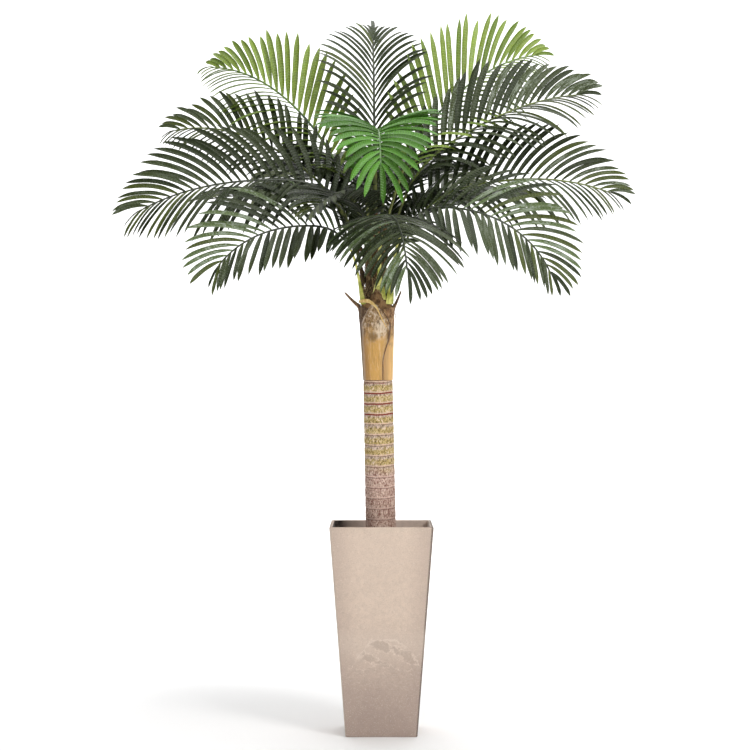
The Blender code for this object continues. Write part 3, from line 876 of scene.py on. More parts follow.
def make_tips():
    """Each tip grows out of its boot's edge, bends and runs to a point."""
    tints = tint(88, 64, 44), tint(156, 122, 88)
    material = grained_finish("boot_tips", 0.75, (200.0, 3.0, 0.3), *tints, 0.001)
    for spike in SPIKES:
        outward, slope = heading(math.radians(spike.azimuth)), math.radians(spike.slope)
        foot = axis_at(spike.height) + outward * spike.reach
        along = outward * math.cos(slope) + UP * math.sin(slope)
        side = UP.cross(outward)
        shape = Shape()
        rings = []
        for row in range(-SPIKE_ROOT_ROWS, SPIKE_ROWS + 1):
            share = row / SPIKE_ROWS
            sunk = clamp(-share * 3.2)
            if row < 0:
                centre = foot - UP * (0.034 * sunk) - outward * (0.006 * sunk)
            else:
                centre = foot + along * (spike.length * share) - UP * (0.002 * math.sin(math.pi * share))
            radius = spike.radius * mix(1.0, 0.42, clamp(share) ** 0.7) * (1.0 - 0.8 * ease(0.9, 1.0, share))
            radius *= 1.0 - 0.35 * sunk
            ring = []
            for turn in turns(SPIKE_SIDES):
                rough = 1.0 + 0.12 * wobble(math.cos(turn) * 2, math.sin(turn) * 2, share * 6, 1.3)
                wide = side * (radius * 0.9 * math.cos(turn) * rough)
                deep = along.cross(side) * (radius * 0.95 * math.sin(turn) * rough)
                ring.append(shape.add(centre + wide + deep))
            rings.append(ring)
        shape.tube(rings)
        shape.piece(spike.name + "_horn", material, "boot_tip", [spike.name], smooth_angle=60.0)


def make_ribbon():
    """A torn strip of pale sheath that crosses the boots' mouth."""
    shape = Shape()
    rings = []
    for first, second in zip(RIBBON, RIBBON[1:]):
        for step in range(RIBBON_STEPS):
            x, height, half = (mix(a, b, step / RIBBON_STEPS) for a, b in zip(first, second))
            ring = []
            for lift, edge in ((0.0, -1.0), (0.0, 1.0), (RIBBON_THICKNESS, 1.0), (RIBBON_THICKNESS, -1.0)):
                level = height + edge * half
                centre = axis_at(level)
                reach = boot_radius(min(level, BOOT_SHOULDER)) + BOOT_LAYER + RIBBON_CLEAR + lift
                offset = clamp(x - centre.x, -reach * 0.97, reach * 0.97)
                ring.append(shape.add((centre.x + offset, -math.sqrt(reach**2 - offset**2), level)))
            rings.append(ring)
    shape.tube(rings)
    tints = tint(226, 184, 104), tint(246, 216, 150)
    material = grained_finish("pale_sheath", 0.7, (120.0, 2.0, 1.0), *tints, 0.0008, edges=(0.3, 0.7))
    shape.piece("torn_ribbon", material, "boot", smooth_angle=50.0)


# Heart, matting and threads

HEART_RADII = (0.046, 0.015)
HEART_SINK = 0.0018
HEART_ROWS = 90
HEART_COLUMNS = 72
MAT_ROWS = 14
MAT_COLUMNS = 96
MAT_THICKNESS = 0.0016
MAT_HEIGHTS = (1.170, 1.252)
MAT_AZIMUTH = 270.0
MAT_SPREAD = 26.0
MAT_APRON = 0.038  # how much higher the matting stands at the front
WOUND_THREADS = 420
FRAYED_THREADS = 150
BOOT_MOUTH = 1.225


def heart_radius(height):
    foot, top = node_foot("heart"), node_top("heart")
    return mix(*HEART_RADII, clamp((height - foot) / (top - foot)) ** 0.85)


def make_heart():
    """The tangled core of the crown."""
    shape = Shape()
    rings = []
    for row in range(HEART_ROWS + 1):
        height = mix(node_foot("heart"), node_top("heart"), row / HEART_ROWS)
        ring = []
        for angle in turns(HEART_COLUMNS):
            twist = wobble(angle * 6.0 + height * 30.0, height * 14.0, 3.0, 1.0)
            cross = wobble(angle * 6.0 - height * 40.0, height * 20.0, 9.0, 1.0)
            reach = heart_radius(height) - HEART_SINK + 0.0016 * max(twist, cross)
            ring.append(shape.add(off_axis(height, angle, reach)))
        rings.append(ring)
    shape.tube(rings)
    shape.piece("fibrous_heart", fibre_finish(), "fibre", ["heart"], smooth_angle=70.0)


def make_matting():
    """A torn cuff of fibre between the boots and the heart, up its outer face and down its inner one."""
    shape = Shape()
    outer = [(row / MAT_ROWS, 0.0) for row in range(MAT_ROWS + 1)]
    inner = [(share, MAT_THICKNESS) for share, _ in outer[::-1]]
    rings = []
    for along, sink in outer + inner:
        ring = []
        for angle in turns(MAT_COLUMNS):
            torn = 0.009 * wobble(math.cos(angle) * 5.0, math.sin(angle) * 5.0, 4.0, 1.6, 3)
            apron = hump(math.degrees(angle), MAT_AZIMUTH, MAT_SPREAD)
            height = mix(MAT_HEIGHTS[0], MAT_HEIGHTS[1] + MAT_APRON * apron + torn, along)
            bulge = 0.0030 * math.sin(math.pi * along * 0.8)
            top_reach = heart_radius(height) + mix(0.0030, 0.0150, apron)
            rough = 0.0012 * wobble(angle * 7.0, height * 60.0, 5.0, 1.0)
            reach = mix(0.0470, top_reach, along**1.3) + bulge + rough - sink
            ring.append(shape.add(off_axis(height, angle, reach)))
        rings.append(ring)
    shape.skin([*rings, rings[0]])
    matting = fibre_finish("torn_matting", tint(92, 64, 38), tint(168, 130, 88))
    shape.piece("boot_matting", matting, "fibre", smooth_angle=70.0)


def fibre_finish(name="tangled_fibre", low=tint(52, 38, 22), high=tint(104, 80, 48)):
    """Coarse brown fibre, lighter where single threads catch the light."""
    if name in bpy.data.materials:
        return bpy.data.materials[name]
    finish = Finish(name, 0.92)
    threads = finish.grain(260.0, 4.0, 0.8, drawn=0.25)
    colour = finish.coats(
        finish.patchy(finish.grain(55.0), low, high),
        (finish.smooth(threads, 0.55, 0.75) * 0.6, tint(160, 132, 88)),
        (finish.smooth(threads, 0.45, 0.3) * 0.7, tint(30, 22, 14)),
    )
    finish.raise_by(threads, 0.0020)
    return finish.painted(colour)


def add_strand(shape, path, radius, sides=4):
    """A thin thread along a path, finer at both ends."""
    rings = []
    last = len(path) - 1
    for i, point in enumerate(path):
        ahead = (path[min(i + 1, last)] - path[max(i - 1, 0)]).normalized()
        side = ahead.orthogonal().normalized()
        up = ahead.cross(side)
        share = i / last
        thick = radius * (0.25 + 0.75 * math.sin(math.pi * share) ** 0.5)
        directions = [side * math.cos(turn) + up * math.sin(turn) for turn in turns(sides)]
        rings.append([shape.add(point + direction * thick) for direction in directions])
    shape.tube(rings)


def add_wound_thread(shape, dice):
    """A thread that winds up round the heart, or round the boots, where most are left out."""
    start, rise = dice.uniform(1.175, 1.44), dice.uniform(0.02, 0.09)
    angle, sweep = dice.uniform(0, math.tau), dice.uniform(-1.1, 1.1)
    lift = dice.uniform(0.0005, 0.0040)
    path = []
    for share in (step / 7 for step in range(8)):
        height = start + rise * share
        near = boot_radius(height) if height < BOOT_MOUTH else heart_radius(height)
        reach = near + lift + 0.003 * math.sin(math.pi * share) * dice.random()
        path.append(off_axis(height, angle + sweep * share, reach))
    if start > BOOT_MOUTH or dice.random() < 0.25:
        add_strand(shape, path, dice.uniform(0.0004, 0.0009))


def add_frayed_thread(shape, dice, fronting):
    """A thread that frays out of the boots' mouth. One that fronts lies on the matting's apron."""
    height, angle = dice.uniform(1.20, 1.30), dice.uniform(0, math.tau)
    clear, stand = 0.002, 0.55
    if fronting:
        height = dice.uniform(1.255, 1.300)
        angle = math.radians(MAT_AZIMUTH + dice.uniform(-40, 40))
        clear, stand = 0.015, 0.15
    out = heading(angle)
    side = UP.cross(out) * dice.uniform(-0.7, 0.7)
    begin = axis_at(height) + out * (max(heart_radius(height), 0.04) + clear)
    length = dice.uniform(0.012, 0.030)
    path = []
    for share in (0.0, 0.25, 0.5, 0.75, 1.0):
        path.append(begin + (out * stand + side * share + UP * (0.9 - 1.1 * share)) * (length * share))
    add_strand(shape, path, dice.uniform(0.0003, 0.0006))


def make_threads():
    dice = random.Random(23)
    shape = Shape()
    for _ in range(WOUND_THREADS):
        add_wound_thread(shape, dice)
    for number in range(FRAYED_THREADS):
        add_frayed_thread(shape, dice, fronting=number % 2 == 1)
    tints = tint(104, 78, 48), tint(196, 168, 124)
    material = grained_finish("loose_threads", 0.85, (60.0, 2.0, 1.0), *tints, 0.0004)
    shape.piece("loose_threads", material, "fibre")


# Fronds: the rule


class Frond(NamedTuple):
    """Angles are in degrees, and an azimuth of 0 points to +X and of 90 to +Y."""

    name: str
    azimuth: float
    height: float  # of its foot on the heart
    rise: float  # slope of the stalk where it leaves the heart
    elbow: float  # bend in the stretch where the stalk turns over
    droop: float  # further bend, which gathers towards the tip
    length: float
    turn: float  # twist that shows the blade's upper face to the front
    spread: float  # angle between the first leaflets and the rib
    leaf: float  # longest leaflet
    closing: float  # share of that length which the last leaflets lose
    under: float  # length of those under the rib against those over it
    foot: float  # width of the sheathing foot
    pairs: int
    broad: float  # width of its leaflets against the others'
    colour: str
    tilt_above: float  # how far the leaflets over the rib turn their faces up, from 0 to 1
    tilt_below: float  # the same for those under it
    bow: float  # how far they curve towards the frond's tip, either way from their middle
    drop: float  # how steeply those under the rib hang
    fan: float = 1.8  # how late the spread closes to that of the last pair
    keel: float = 20.0  # angle by which the two rows rise from the blade's plane
    last: float = 0.3  # reach of the leaflet at the rib's end, as a share of the longest

    @property
    def node(self):
        return "frond_" + self.name


DARK, LIGHT, YOUNG = "frond_dark", "frond_light", "frond_young"
# Each stalk and rib, in the order of Frond's fields from its name to its turn
COURSES = (
    ("low_left", 208, 1.250, 79, 64, 66, 0.64, 35),
    ("low_front", 280, 1.262, 86, 72, 80, 0.67, 0),
    ("low_right", 330, 1.250, 84, 70, 80, 0.79, 35),
    ("low_back_right", 38, 1.262, 76, 60, 14, 0.76, 10),
    ("low_back", 92, 1.250, 78, 62, 26, 0.76, 0),
    ("low_back_left", 150, 1.262, 83, 64, 26, 0.76, 10),
    ("mid_left", 183, 1.322, 76, 65, 40, 0.84, 55),
    ("mid_right", 0, 1.322, 66, 44, 44, 0.80, 55),
    ("mid_back_right", 62, 1.335, 76, 50, 52, 0.80, 0),
    ("mid_back_left", 122, 1.335, 76, 50, 52, 0.80, 0),
    ("mid_front", 243, 1.345, 84, 60, 60, 0.50, 0),
    ("top_left", 167, 1.385, 62, 14, 58, 0.76, 55),
    ("top_right", 10, 1.395, 72, 30, 37, 0.82, 50),
    ("top_back_right", 68, 1.410, 78, 46, 46, 0.64, 0),
    ("top_back_left", 116, 1.410, 78, 46, 46, 0.64, 0),
    ("young_left", 152, 1.450, 66, 4, 56, 0.79, 55),
    ("young_right", 28, 1.450, 72, 13, 49, 0.82, 55),
    ("spire", 92, 1.470, 84, 0, 34, 0.65, 0),
    ("young_front", 272, 1.490, 87, 60, 88, 0.64, 0),
)
# The leaflets of each, in the order of the fields from its spread on
BLADES = {
    "low_left": (58, 0.24, 0.50, 0.62, 0.030, 22, 1.05, DARK, 0.05, 0.10, 6, 1.5),
    "low_front": (66, 0.25, 0.60, 1.0, 0.042, 28, 1.05, DARK, 0.0, 0.0, 6, 0.1, 3.0, -12.0, 0.40),
    "low_right": (56, 0.24, 0.62, 0.78, 0.044, 27, 0.94, DARK, 0.05, 0.10, 6, 1.3),
    "low_back_right": (52, 0.19, 0.60, 1.0, 0.018, 36, 1.10, DARK, 0.20, 0.40, 6, 0.3),
    "low_back": (56, 0.19, 0.60, 1.0, 0.018, 36, 1.10, DARK, 0.20, 0.20, 6, 0.3),
    "low_back_left": (52, 0.19, 0.60, 1.0, 0.018, 36, 1.10, DARK, 0.20, 0.40, 6, 0.3),
    "mid_left": (58, 0.26, 0.55, 1.0, 0.018, 28, 1.05, DARK, 0.05, 0.45, 6, 0.2),
    "mid_right": (56, 0.25, 0.66, 1.0, 0.018, 27, 0.92, DARK, 0.10, 0.45, 6, 0.2),
    "mid_back_right": (56, 0.21, 0.60, 1.0, 0.016, 40, 1.15, DARK, 0.20, 0.20, 6, 0.3),
    "mid_back_left": (56, 0.21, 0.60, 1.0, 0.016, 40, 1.15, DARK, 0.20, 0.20, 6, 0.3),
    "mid_front": (60, 0.17, 0.60, 1.0, 0.014, 24, 1.00, DARK, 0.10, 0.10, 6, 0.3),
    "top_left": (54, 0.19, 0.60, 1.0, 0.014, 26, 0.94, DARK, 0.05, 0.45, 4, 0.2),
    "top_right": (50, 0.24, 0.60, 1.0, 0.014, 26, 1.16, DARK, 0.05, 0.45, 4, 0.2),
    "top_back_right": (56, 0.19, 0.60, 1.0, 0.014, 36, 1.10, DARK, 0.20, 0.20, 6, 0.3),
    "top_back_left": (56, 0.19, 0.60, 1.0, 0.014, 36, 1.10, DARK, 0.20, 0.20, 6, 0.3),
    "young_left": (56, 0.23, 0.74, 1.0, 0.012, 25, 1.18, LIGHT, 0.05, 0.70, 2, 0.1),
    "young_right": (54, 0.26, 0.72, 1.0, 0.012, 26, 1.08, LIGHT, 0.05, 0.50, 2, 0.1),
    "spire": (48, 0.23, 0.80, 1.0, 0.012, 22, 1.02, DARK, 0.35, 0.35, -9, 0.0, 5.0),
    "young_front": (74, 0.20, 0.25, 1.0, 0.012, 27, 1.32, YOUNG, 0.0, 0.0, 8, 0.0, 3.4, 20.0, 0.65),
}
FRONDS = tuple(Frond(*course, *BLADES[course[0]]) for course in COURSES)

RIB_STEPS = 90
ELBOW = (0.14, 0.50)
TURN = (0.08, 0.40)
FOOT_END = 0.13
BLADE_START = 0.27
LEAVES_START = 0.22
RIB_WIDTH = (0.0120, 0.0050)
RIB_THICKNESS = (0.0098, 0.0042)
RIB_TAPER = 0.7
FIRST_WIDTH = 0.75
FULL_WIDTH_AT = 0.28
LAST_WIDTH = 0.66
FIRST_LENGTH = 0.48
LONGEST_AT = 0.4
TIP_CURVE = 1.8
TIP_SPREAD = 22.0
SAG = (-0.10, 0.44)
HANG = 2.0
FOOT_GAP = 0.0003


class Station(NamedTuple):
    """A place on a frond's rib, with its own directions: forward, to its side, and up out of the blade."""

    point: Vector
    forward: Vector
    side: Vector
    up: Vector
    share: float

    def beside(self, wide, deep):
        """The point at a distance to the side and up."""
        return self.point + self.side * wide + self.up * deep


def rib_line(frond):
    """Stations along the rib, from its foot to its tip."""
    outward = heading(math.radians(frond.azimuth))
    front_sense = 1.0 if outward.x >= 0 else -1.0
    lean_in = rib_thickness(0.0) / 2 * math.sin(math.radians(frond.rise))
    point = axis_at(frond.height) + outward * (heart_radius(frond.height) + lean_in - FOOT_GAP)
    stations = []
    for step in range(RIB_STEPS + 1):
        share = step / RIB_STEPS
        bend = frond.elbow * ease(*ELBOW, share) + frond.droop * share**2
        slope = math.radians(frond.rise - bend)
        forward = outward * math.cos(slope) + UP * math.sin(slope)
        twist = math.radians(front_sense * frond.turn * ease(*TURN, share))
        side = Quaternion(forward, twist) @ UP.cross(outward)
        stations.append(Station(point, forward, side, forward.cross(side), share))
        point = point + forward * (frond.length / RIB_STEPS)
    return stations


def at_share(stations, share):
    """The station at a share of the rib's length."""
    place = clamp(share) * RIB_STEPS
    low = min(int(place), RIB_STEPS - 1)
    blended = [a.lerp(b, place - low) for a, b in zip(stations[low][:4], stations[low + 1][:4])]
    return Station(blended[0], *(v.normalized() for v in blended[1:]), share)


def rib_width(frond, share):
    slim = mix(*RIB_WIDTH, share**RIB_TAPER)
    return slim + max(frond.foot - slim, 0.0) * (1.0 - ease(0.0, FOOT_END, share))


def rib_thickness(share):
    return mix(*RIB_THICKNESS, share**RIB_TAPER)


def leaflet_side(station, sense, keel):
    """The direction straight off the rib, to one side, which rises by the keel angle from the blade."""
    rise = math.radians(keel)
    return station.side * (sense * math.cos(rise)) + station.up * math.sin(rise)


def leaflet_reach(frond, place, sideways):
    """Length of a leaflet at a place from 0, the first pair, to 1, the last."""
    growing = mix(FIRST_LENGTH, 1.0, math.sin(math.pi / 2 * min(place / LONGEST_AT, 1.0)))
    closing = 1.0 - frond.closing * max((place - LONGEST_AT) / (1.0 - LONGEST_AT), 0.0) ** TIP_CURVE
    under = mix(1.0, frond.under, ease(0.0, 0.5, -sideways.z))
    return frond.leaf * growing * closing * under


def leaflet_course(frond, station, sense, sideways, angle, along, limp):
    """Heading of a leaflet at a share of its length, and the direction out of its face."""
    hanging = max(-sideways.z, 0.0)
    aim = angle + math.radians(frond.bow) * (1.0 - 2.0 * along)
    out = station.forward * math.cos(aim) + sideways * math.sin(aim)
    across = station.forward * math.sin(aim) - sideways * math.cos(aim)
    fall = limp * (1.0 + HANG * hanging) * mix(*SAG, along) + frond.drop * hanging
    ahead = (out - UP * fall).normalized()
    normal = (across.cross(ahead) * sense).normalized()
    skyward = (UP - ahead * ahead.z).normalized()
    if normal.dot(skyward) < 0:
        skyward = -skyward
    tilt = frond.tilt_above if sideways.z > 0 else frond.tilt_below
    return ahead, (normal * (1.0 - tilt) + skyward * tilt).normalized()


# Fronds: the meshes

LEAF_ROWS = 13
LEAF_COLUMNS = 4
LEAF_FOOT_IN = 0.30  # where a leaflet starts, as a share of the rib's width from its middle
LEAF_FOOT_WIDTH = 0.34  # as a share of its widest
LEAF_OPEN_AT = 0.36
LEAF_CLOSES_AT = 0.72
LEAF_POINT = 2.1  # higher for a blunter point
# How unevenly leaflets are set and grown: angles in degrees, the roll in radians, the rest as factors
UNEVEN_ANGLE = 1.3
UNEVEN_KEEL = 3.0
UNEVEN_ROLL = 0.12
UNEVEN_REACH = (0.93, 1.03)
UNEVEN_WIDTH = (0.93, 1.05)
UNEVEN_SAG = (0.85, 1.15)
BEAD = 0.00022
BEAD_PITCH = 0.012
STAGGER = 0.18  # how far the two leaflets of a pair are set off from its middle, by the pairs' pitch
STALK_OVERLAP = 0.02
STALK_RINGS = 22
RIB_RINGS = 46
RIB_SIDES = 10
FROND_SEED = 100
FROND_SMOOTHING = 60.0
CUFF_END = 0.055
CUFF_RINGS = 6
CUFF_SIDES = 16


def leaf_outline(along):
    """Half width of a leaflet as a share of its widest, from its narrow base to its point."""
    opening = mix(LEAF_FOOT_WIDTH, 1.0, math.sin(math.pi / 2 * min(along / LEAF_OPEN_AT, 1.0)))
    closing = 1.0 - max((along - LEAF_CLOSES_AT) / (1.0 - LEAF_CLOSES_AT), 0.0) ** LEAF_POINT
    return opening * closing


def add_leaflet(shape, frond, station, sense, place, settings, dice, ending=False):
    """A closed, folded blade that leaves the rib, or ends it, and sags towards its point."""
    off_rib = 0.0 if ending else mix(frond.spread, TIP_SPREAD, place**frond.fan)
    angle = math.radians(off_rib + dice.gauss(0, UNEVEN_ANGLE))
    sideways = leaflet_side(station, sense, frond.keel + dice.gauss(0, UNEVEN_KEEL))
    reach = frond.last * frond.leaf if ending else leaflet_reach(frond, place, sideways)
    reach *= dice.uniform(*UNEVEN_REACH)
    broad = frond.broad * mix(1.0, LAST_WIDTH, place**2) * dice.uniform(*UNEVEN_WIDTH)
    half = settings.width / 2 * broad * mix(FIRST_WIDTH, 1.0, min(place / FULL_WIDTH_AT, 1.0))
    limp = dice.uniform(*UNEVEN_SAG)
    roll = dice.gauss(0, UNEVEN_ROLL)
    point = station.point + sideways * (rib_width(frond, station.share) * LEAF_FOOT_IN)
    rings = []
    for row in range(LEAF_ROWS):
        along = row / LEAF_ROWS
        ahead, normal = leaflet_course(frond, station, sense, sideways, angle, along, limp)
        wide = Quaternion(ahead, roll * along) @ ahead.cross(normal) * sense
        lift = wide.cross(ahead) * sense
        spread = half * leaf_outline(along)
        upper, lower = [], []
        for column in range(LEAF_COLUMNS + 1):
            across = 2 * column / LEAF_COLUMNS - 1
            fold = settings.fold * spread * 2 * abs(across) ** 0.8
            bead = BEAD * math.sin(math.tau * along * reach / BEAD_PITCH + column * 1.3)
            middle = point + wide * (spread * across) + lift * (fold + bead)
            thick = settings.thickness * (0.5 if abs(across) < 1 else 0.3)
            upper.append(shape.add(middle + lift * thick, across * spread, along * reach))
            lower.append(shape.add(middle - lift * thick, across * spread, along * reach))
        ring = upper + lower[::-1]
        rings.append(ring if sense > 0 else ring[::-1])
        point = point + ahead * (reach / LEAF_ROWS)
    tip = shape.add(point, 0.0, reach)
    shape.skin(rings)
    shape.cap(rings[0], top=False)
    last = rings[-1]
    shape.faces.extend((i, j, tip) for i, j in zip(last, last[1:] + last[:1]))


def add_rib(shape, frond, stations, start, end, rings_count):
    """A tapering rib between two shares of its length, flattened and grooved on its upper face."""
    rings = []
    for step in range(rings_count + 1):
        station = at_share(stations, mix(start, end, step / rings_count))
        half_width, half_thick = rib_width(frond, station.share) / 2, rib_thickness(station.share) / 2
        ring = []
        for turn in turns(RIB_SIDES):
            groove = 0.35 * half_thick * max(math.sin(turn), 0.0) ** 4
            deep = half_thick * math.sin(turn) - groove
            ring.append(shape.add(station.beside(half_width * math.cos(turn), deep)))
        rings.append(ring)
    shape.tube(rings)


def add_cuff(shape, frond, stations):
    """A frayed sleeve of fibre round the foot of a stalk."""
    rings = []
    for share in (step / CUFF_RINGS for step in range(CUFF_RINGS + 1)):
        station = at_share(stations, CUFF_END * share)
        half_width = rib_width(frond, station.share) / 2 * mix(1.45, 1.06, share)
        half_thick = rib_thickness(station.share) / 2 * mix(1.9, 1.10, share)
        ring = []
        for turn in turns(CUFF_SIDES):
            x, y = math.cos(turn), math.sin(turn)
            torn = 0.010 * share * wobble(x * 2.0, y * 2.0, frond.azimuth, 1.6)
            rough = 1.0 + 0.10 * wobble(x * 3.0, y * 3.0, share * 5.0, 1.3)
            point = station.beside(half_width * rough * x, half_thick * rough * y)
            ring.append(shape.add(point + station.forward * (torn - 0.012 * (1.0 - share))))
        rings.append(ring)
    shape.tube(rings)


# Fronds: their colours

# Each kind of leaflet: a factor on its slot's colour, one on each channel, and the strength of its painted
# sheen. The two old kinds that are drawn with no share are paler to paint highlights
LEAF_KINDS = {
    "deep": (0.64, (0.95, 1.05, 0.85), 0.06),
    "dark": (1.0, WHITE, 0.12),
    "grey": (1.45, (1.02, 1.0, 1.12), 0.24),
    "olive": (1.75, (1.12, 1.05, 0.60), 0.14),
    "glossy": (3.0, (0.98, 1.02, 1.25), 0.85),
    "silver": (1.5, (1.02, 1.0, 1.15), 0.60),
    "lime": (1.0, WHITE, 0.20),
    "lime_deep": (0.74, (0.92, 1.0, 0.9), 0.12),
    "lime_pale": (1.22, (1.0, 1.0, 1.10), 0.30),
    "fresh": (1.0, WHITE, 0.05),
    "fresh_deep": (0.66, (1.02, 1.0, 0.97), 0.03),
    "fresh_pale": (1.15, (1.0, 1.0, 1.05), 0.12),
}
# How often each kind is drawn. Those with no share serve only the rows that have a look of their own.
DEALS = {
    DARK: {"deep": 0.34, "glossy": 0.0, "silver": 0.0, "dark": 0.42, "grey": 0.18, "olive": 0.06},
    LIGHT: {"lime_deep": 0.28, "lime": 0.50, "lime_pale": 0.22},
    YOUNG: {"fresh_deep": 0.24, "fresh": 0.50, "fresh_pale": 0.26},
}
# The own kind of such a row, and the share of its leaflets at the stalk and at the tip; the old kinds with no
# share of their own paint highlights on rows that face the lights
ROW_LOOKS = {
    ("low_front", -1): ("glossy", 0.85, 0.45),
    ("low_front", 1): ("grey", 0.10, 0.35),
    ("low_right", 1): ("glossy", 0.10, 0.45),
    ("low_right", -1): ("grey", 0.90, 0.45),
    ("mid_right", 1): ("silver", 0.00, 0.60),
    ("mid_right", -1): ("grey", 0.10, 0.40),
    ("top_right", 1): ("silver", 0.10, 0.65),
    ("top_left", -1): ("grey", 0.10, 0.60),
    ("mid_left", -1): ("grey", 0.00, 0.35),
    ("low_left", -1): ("glossy", 0.20, 0.40),
    ("low_left", 1): ("grey", 0.90, 0.45),
}
EVERGREEN = ("low_front", "spire")  # their tips don't turn olive
TURNING_FROM = 0.55
TURNED = 0.75
INNER_DRAW = 0.33  # keeps the leaflets next to the stalk to the darker kinds
INNER_END = 0.45
SHEEN = (0.37, 0.42, 0.34)
SHEEN_DEPTH = 0.75
PLEAT_PITCH = 0.0032
CROSS_BEAD_PITCH = 0.0085
CROSS_BEAD_SLANT = 420.0
SHEATHS = ("low_left", "low_front", "low_right")
DRY_STALKS = ("low_back_left",)
OLIVE_RIBS = ("top_left", "top_right", "mid_right")
RIB_OF = {DARK: "dark", LIGHT: "light", YOUNG: "fresh"}
RIB_TINTS = {
    "dark": (DARK, tint(30, 38, 22), tint(52, 60, 36)),
    "olive": (DARK, tint(76, 92, 34), tint(112, 124, 50)),
    "light": (LIGHT, tint(46, 78, 34), tint(92, 120, 44)),
    "fresh": (YOUNG, tint(56, 92, 44), tint(104, 138, 76)),
}
STALK_TINTS = {
    "sheath": (LIGHT, tint(180, 186, 70), tint(250, 246, 146)),
    "inner": (LIGHT, tint(58, 66, 28), tint(108, 114, 50)),
    "dry": ("fibre", tint(66, 50, 30), tint(112, 88, 54)),
}


def stalk_kind(frond):
    if frond.name in DRY_STALKS:
        return "dry"
    return "sheath" if frond.name in SHEATHS else "inner"


def deal(frond, place, sense, dice):
    """The kind of a leaflet: a seeded draw, where some rows have their own and most old tips turn olive."""
    kind, first, last = ROW_LOOKS.get((frond.name, sense), ("", 0.0, 0.0))
    if kind and dice.random() < mix(first, last, place):
        return kind
    turning = frond.colour == DARK and frond.name not in EVERGREEN
    if turning and dice.random() < ease(TURNING_FROM, 1.0, place) * TURNED:
        return "olive"
    draw = dice.random() * mix(INNER_DRAW, 1.0, min(place / INNER_END, 1.0))
    for kind, share in DEALS[frond.colour].items():
        draw -= share
        if draw <= 0:
            break
    return kind


def leaf_finish(kind, base):
    """Moulded leaf: long fine pleats and short cross beads, with painted highlights on the beads and pale
    streaks of painted sheen along it.
    """
    factor, cast, sheen = LEAF_KINDS[kind]
    colour = tuple(channel * factor * c for channel, c in zip(base, cast))
    pale = tuple(mix(channel, high, SHEEN_DEPTH) for channel, high in zip(colour, SHEEN))
    finish = Finish("leaf_" + kind, 0.40, specular=0.26)
    along, across = finish.mark("along"), finish.mark("across")
    pleat = finish.maths("SINE", across * (math.tau / PLEAT_PITCH))
    bead = finish.maths("SINE", along * (math.tau / CROSS_BEAD_PITCH) + abs(across) * CROSS_BEAD_SLANT)
    mottle = finish.grain(38.0, 3.0)
    flow = finish.node("CombineXYZ", {}, {"X": across * 300.0, "Y": along * 18.0, "Z": mottle * 9.0})
    streak = finish.smooth(finish.grain(1.0, vector=flow), 0.50, 0.60)
    shown = finish.coats(
        finish.patchy(mottle, shade(colour, 0.90), shade(colour, 1.10), edges=(0.3, 0.7)),
        (finish.line(across, 0.0004, 0.0018) * 0.30, shade(colour, 1.6)),
        # Lighter beads: painted highlights
        (finish.smooth(bead, 0.2, 1.0) * 0.25, shade(colour, 1.9)),
        # Pale streaks: painted sheen
        (streak * sheen, pale),
    )
    finish.raise_by(0.5 + pleat * 0.15 + bead * 0.35, 0.0011)
    return finish.painted(shown, 0.27 + mottle * 0.12)


def stalk_finish(name, low, high):
    finish = Finish(name, 0.42)
    streak = finish.grain(180.0, 3.0, drawn=0.15)
    colour = finish.patchy(finish.grain(30.0), low, high)
    finish.raise_by(streak, 0.0006)
    return finish.painted(finish.blend(finish.smooth(streak, 0.5, 0.75) * 0.4, colour, shade(low, 0.55)))


def make_fronds(settings):
    """Grows every frond, and joins its leaflets, ribs and stalks by kind."""
    leaves = {kind: Shape("across", "along") for kind in LEAF_KINDS}
    ribs = {name: Shape() for name in RIB_TINTS}
    stalks = {kind: Shape() for kind in STALK_TINTS}
    cuffs = Shape()
    for number, frond in enumerate(FRONDS):
        dice = random.Random(FROND_SEED + number)
        stations = rib_line(frond)
        add_rib(stalks[stalk_kind(frond)], frond, stations, 0.0, BLADE_START + STALK_OVERLAP, STALK_RINGS)
        if stalk_kind(frond) != "sheath":
            add_cuff(cuffs, frond, stations)
        rib = "olive" if frond.name in OLIVE_RIBS else RIB_OF[frond.colour]
        add_rib(ribs[rib], frond, stations, BLADE_START, 1.0, RIB_RINGS)
        pairs = round(frond.pairs * settings.density)
        pitch = (1.0 - LEAVES_START) / pairs
        for pair in range(pairs):
            place = clamp((LEAVES_START + pair * pitch - BLADE_START) / (1.0 - BLADE_START - pitch))
            for sense in (1, -1):
                station = at_share(stations, LEAVES_START + (pair + 0.5 + STAGGER * sense) * pitch)
                kind = deal(frond, place, sense, dice)
                add_leaflet(leaves[kind], frond, station, sense, place, settings, dice)
        first_kind = next(iter(DEALS[frond.colour]))
        add_leaflet(leaves[first_kind], frond, at_share(stations, 1.0), 1, 1.0, settings, dice, ending=True)

    nodes = {colour: [frond.node for frond in FRONDS if frond.colour == colour] for colour in DEALS}
    for colour, kinds in DEALS.items():
        for kind in kinds:
            material = leaf_finish(kind, getattr(settings, RIB_OF[colour]))
            leaves[kind].piece("leaflets_" + kind, material, colour, nodes[colour], FROND_SMOOTHING)
    for name, (colour, low, high) in RIB_TINTS.items():
        material = stalk_finish("rib_" + name, low, high)
        ribs[name].piece("ribs_" + name, material, colour, nodes[colour], FROND_SMOOTHING)
    for kind, (slot, low, high) in STALK_TINTS.items():
        material = stalk_finish("stalk_" + kind, low, high)
        grown = sorted(frond.node for frond in FRONDS if stalk_kind(frond) == kind)
        stalks[kind].piece("stalks_" + kind, material, slot, grown, FROND_SMOOTHING)
    cuffs.piece("stalk_cuffs", fibre_finish(), "fibre", smooth_angle=FROND_SMOOTHING)


# Stage

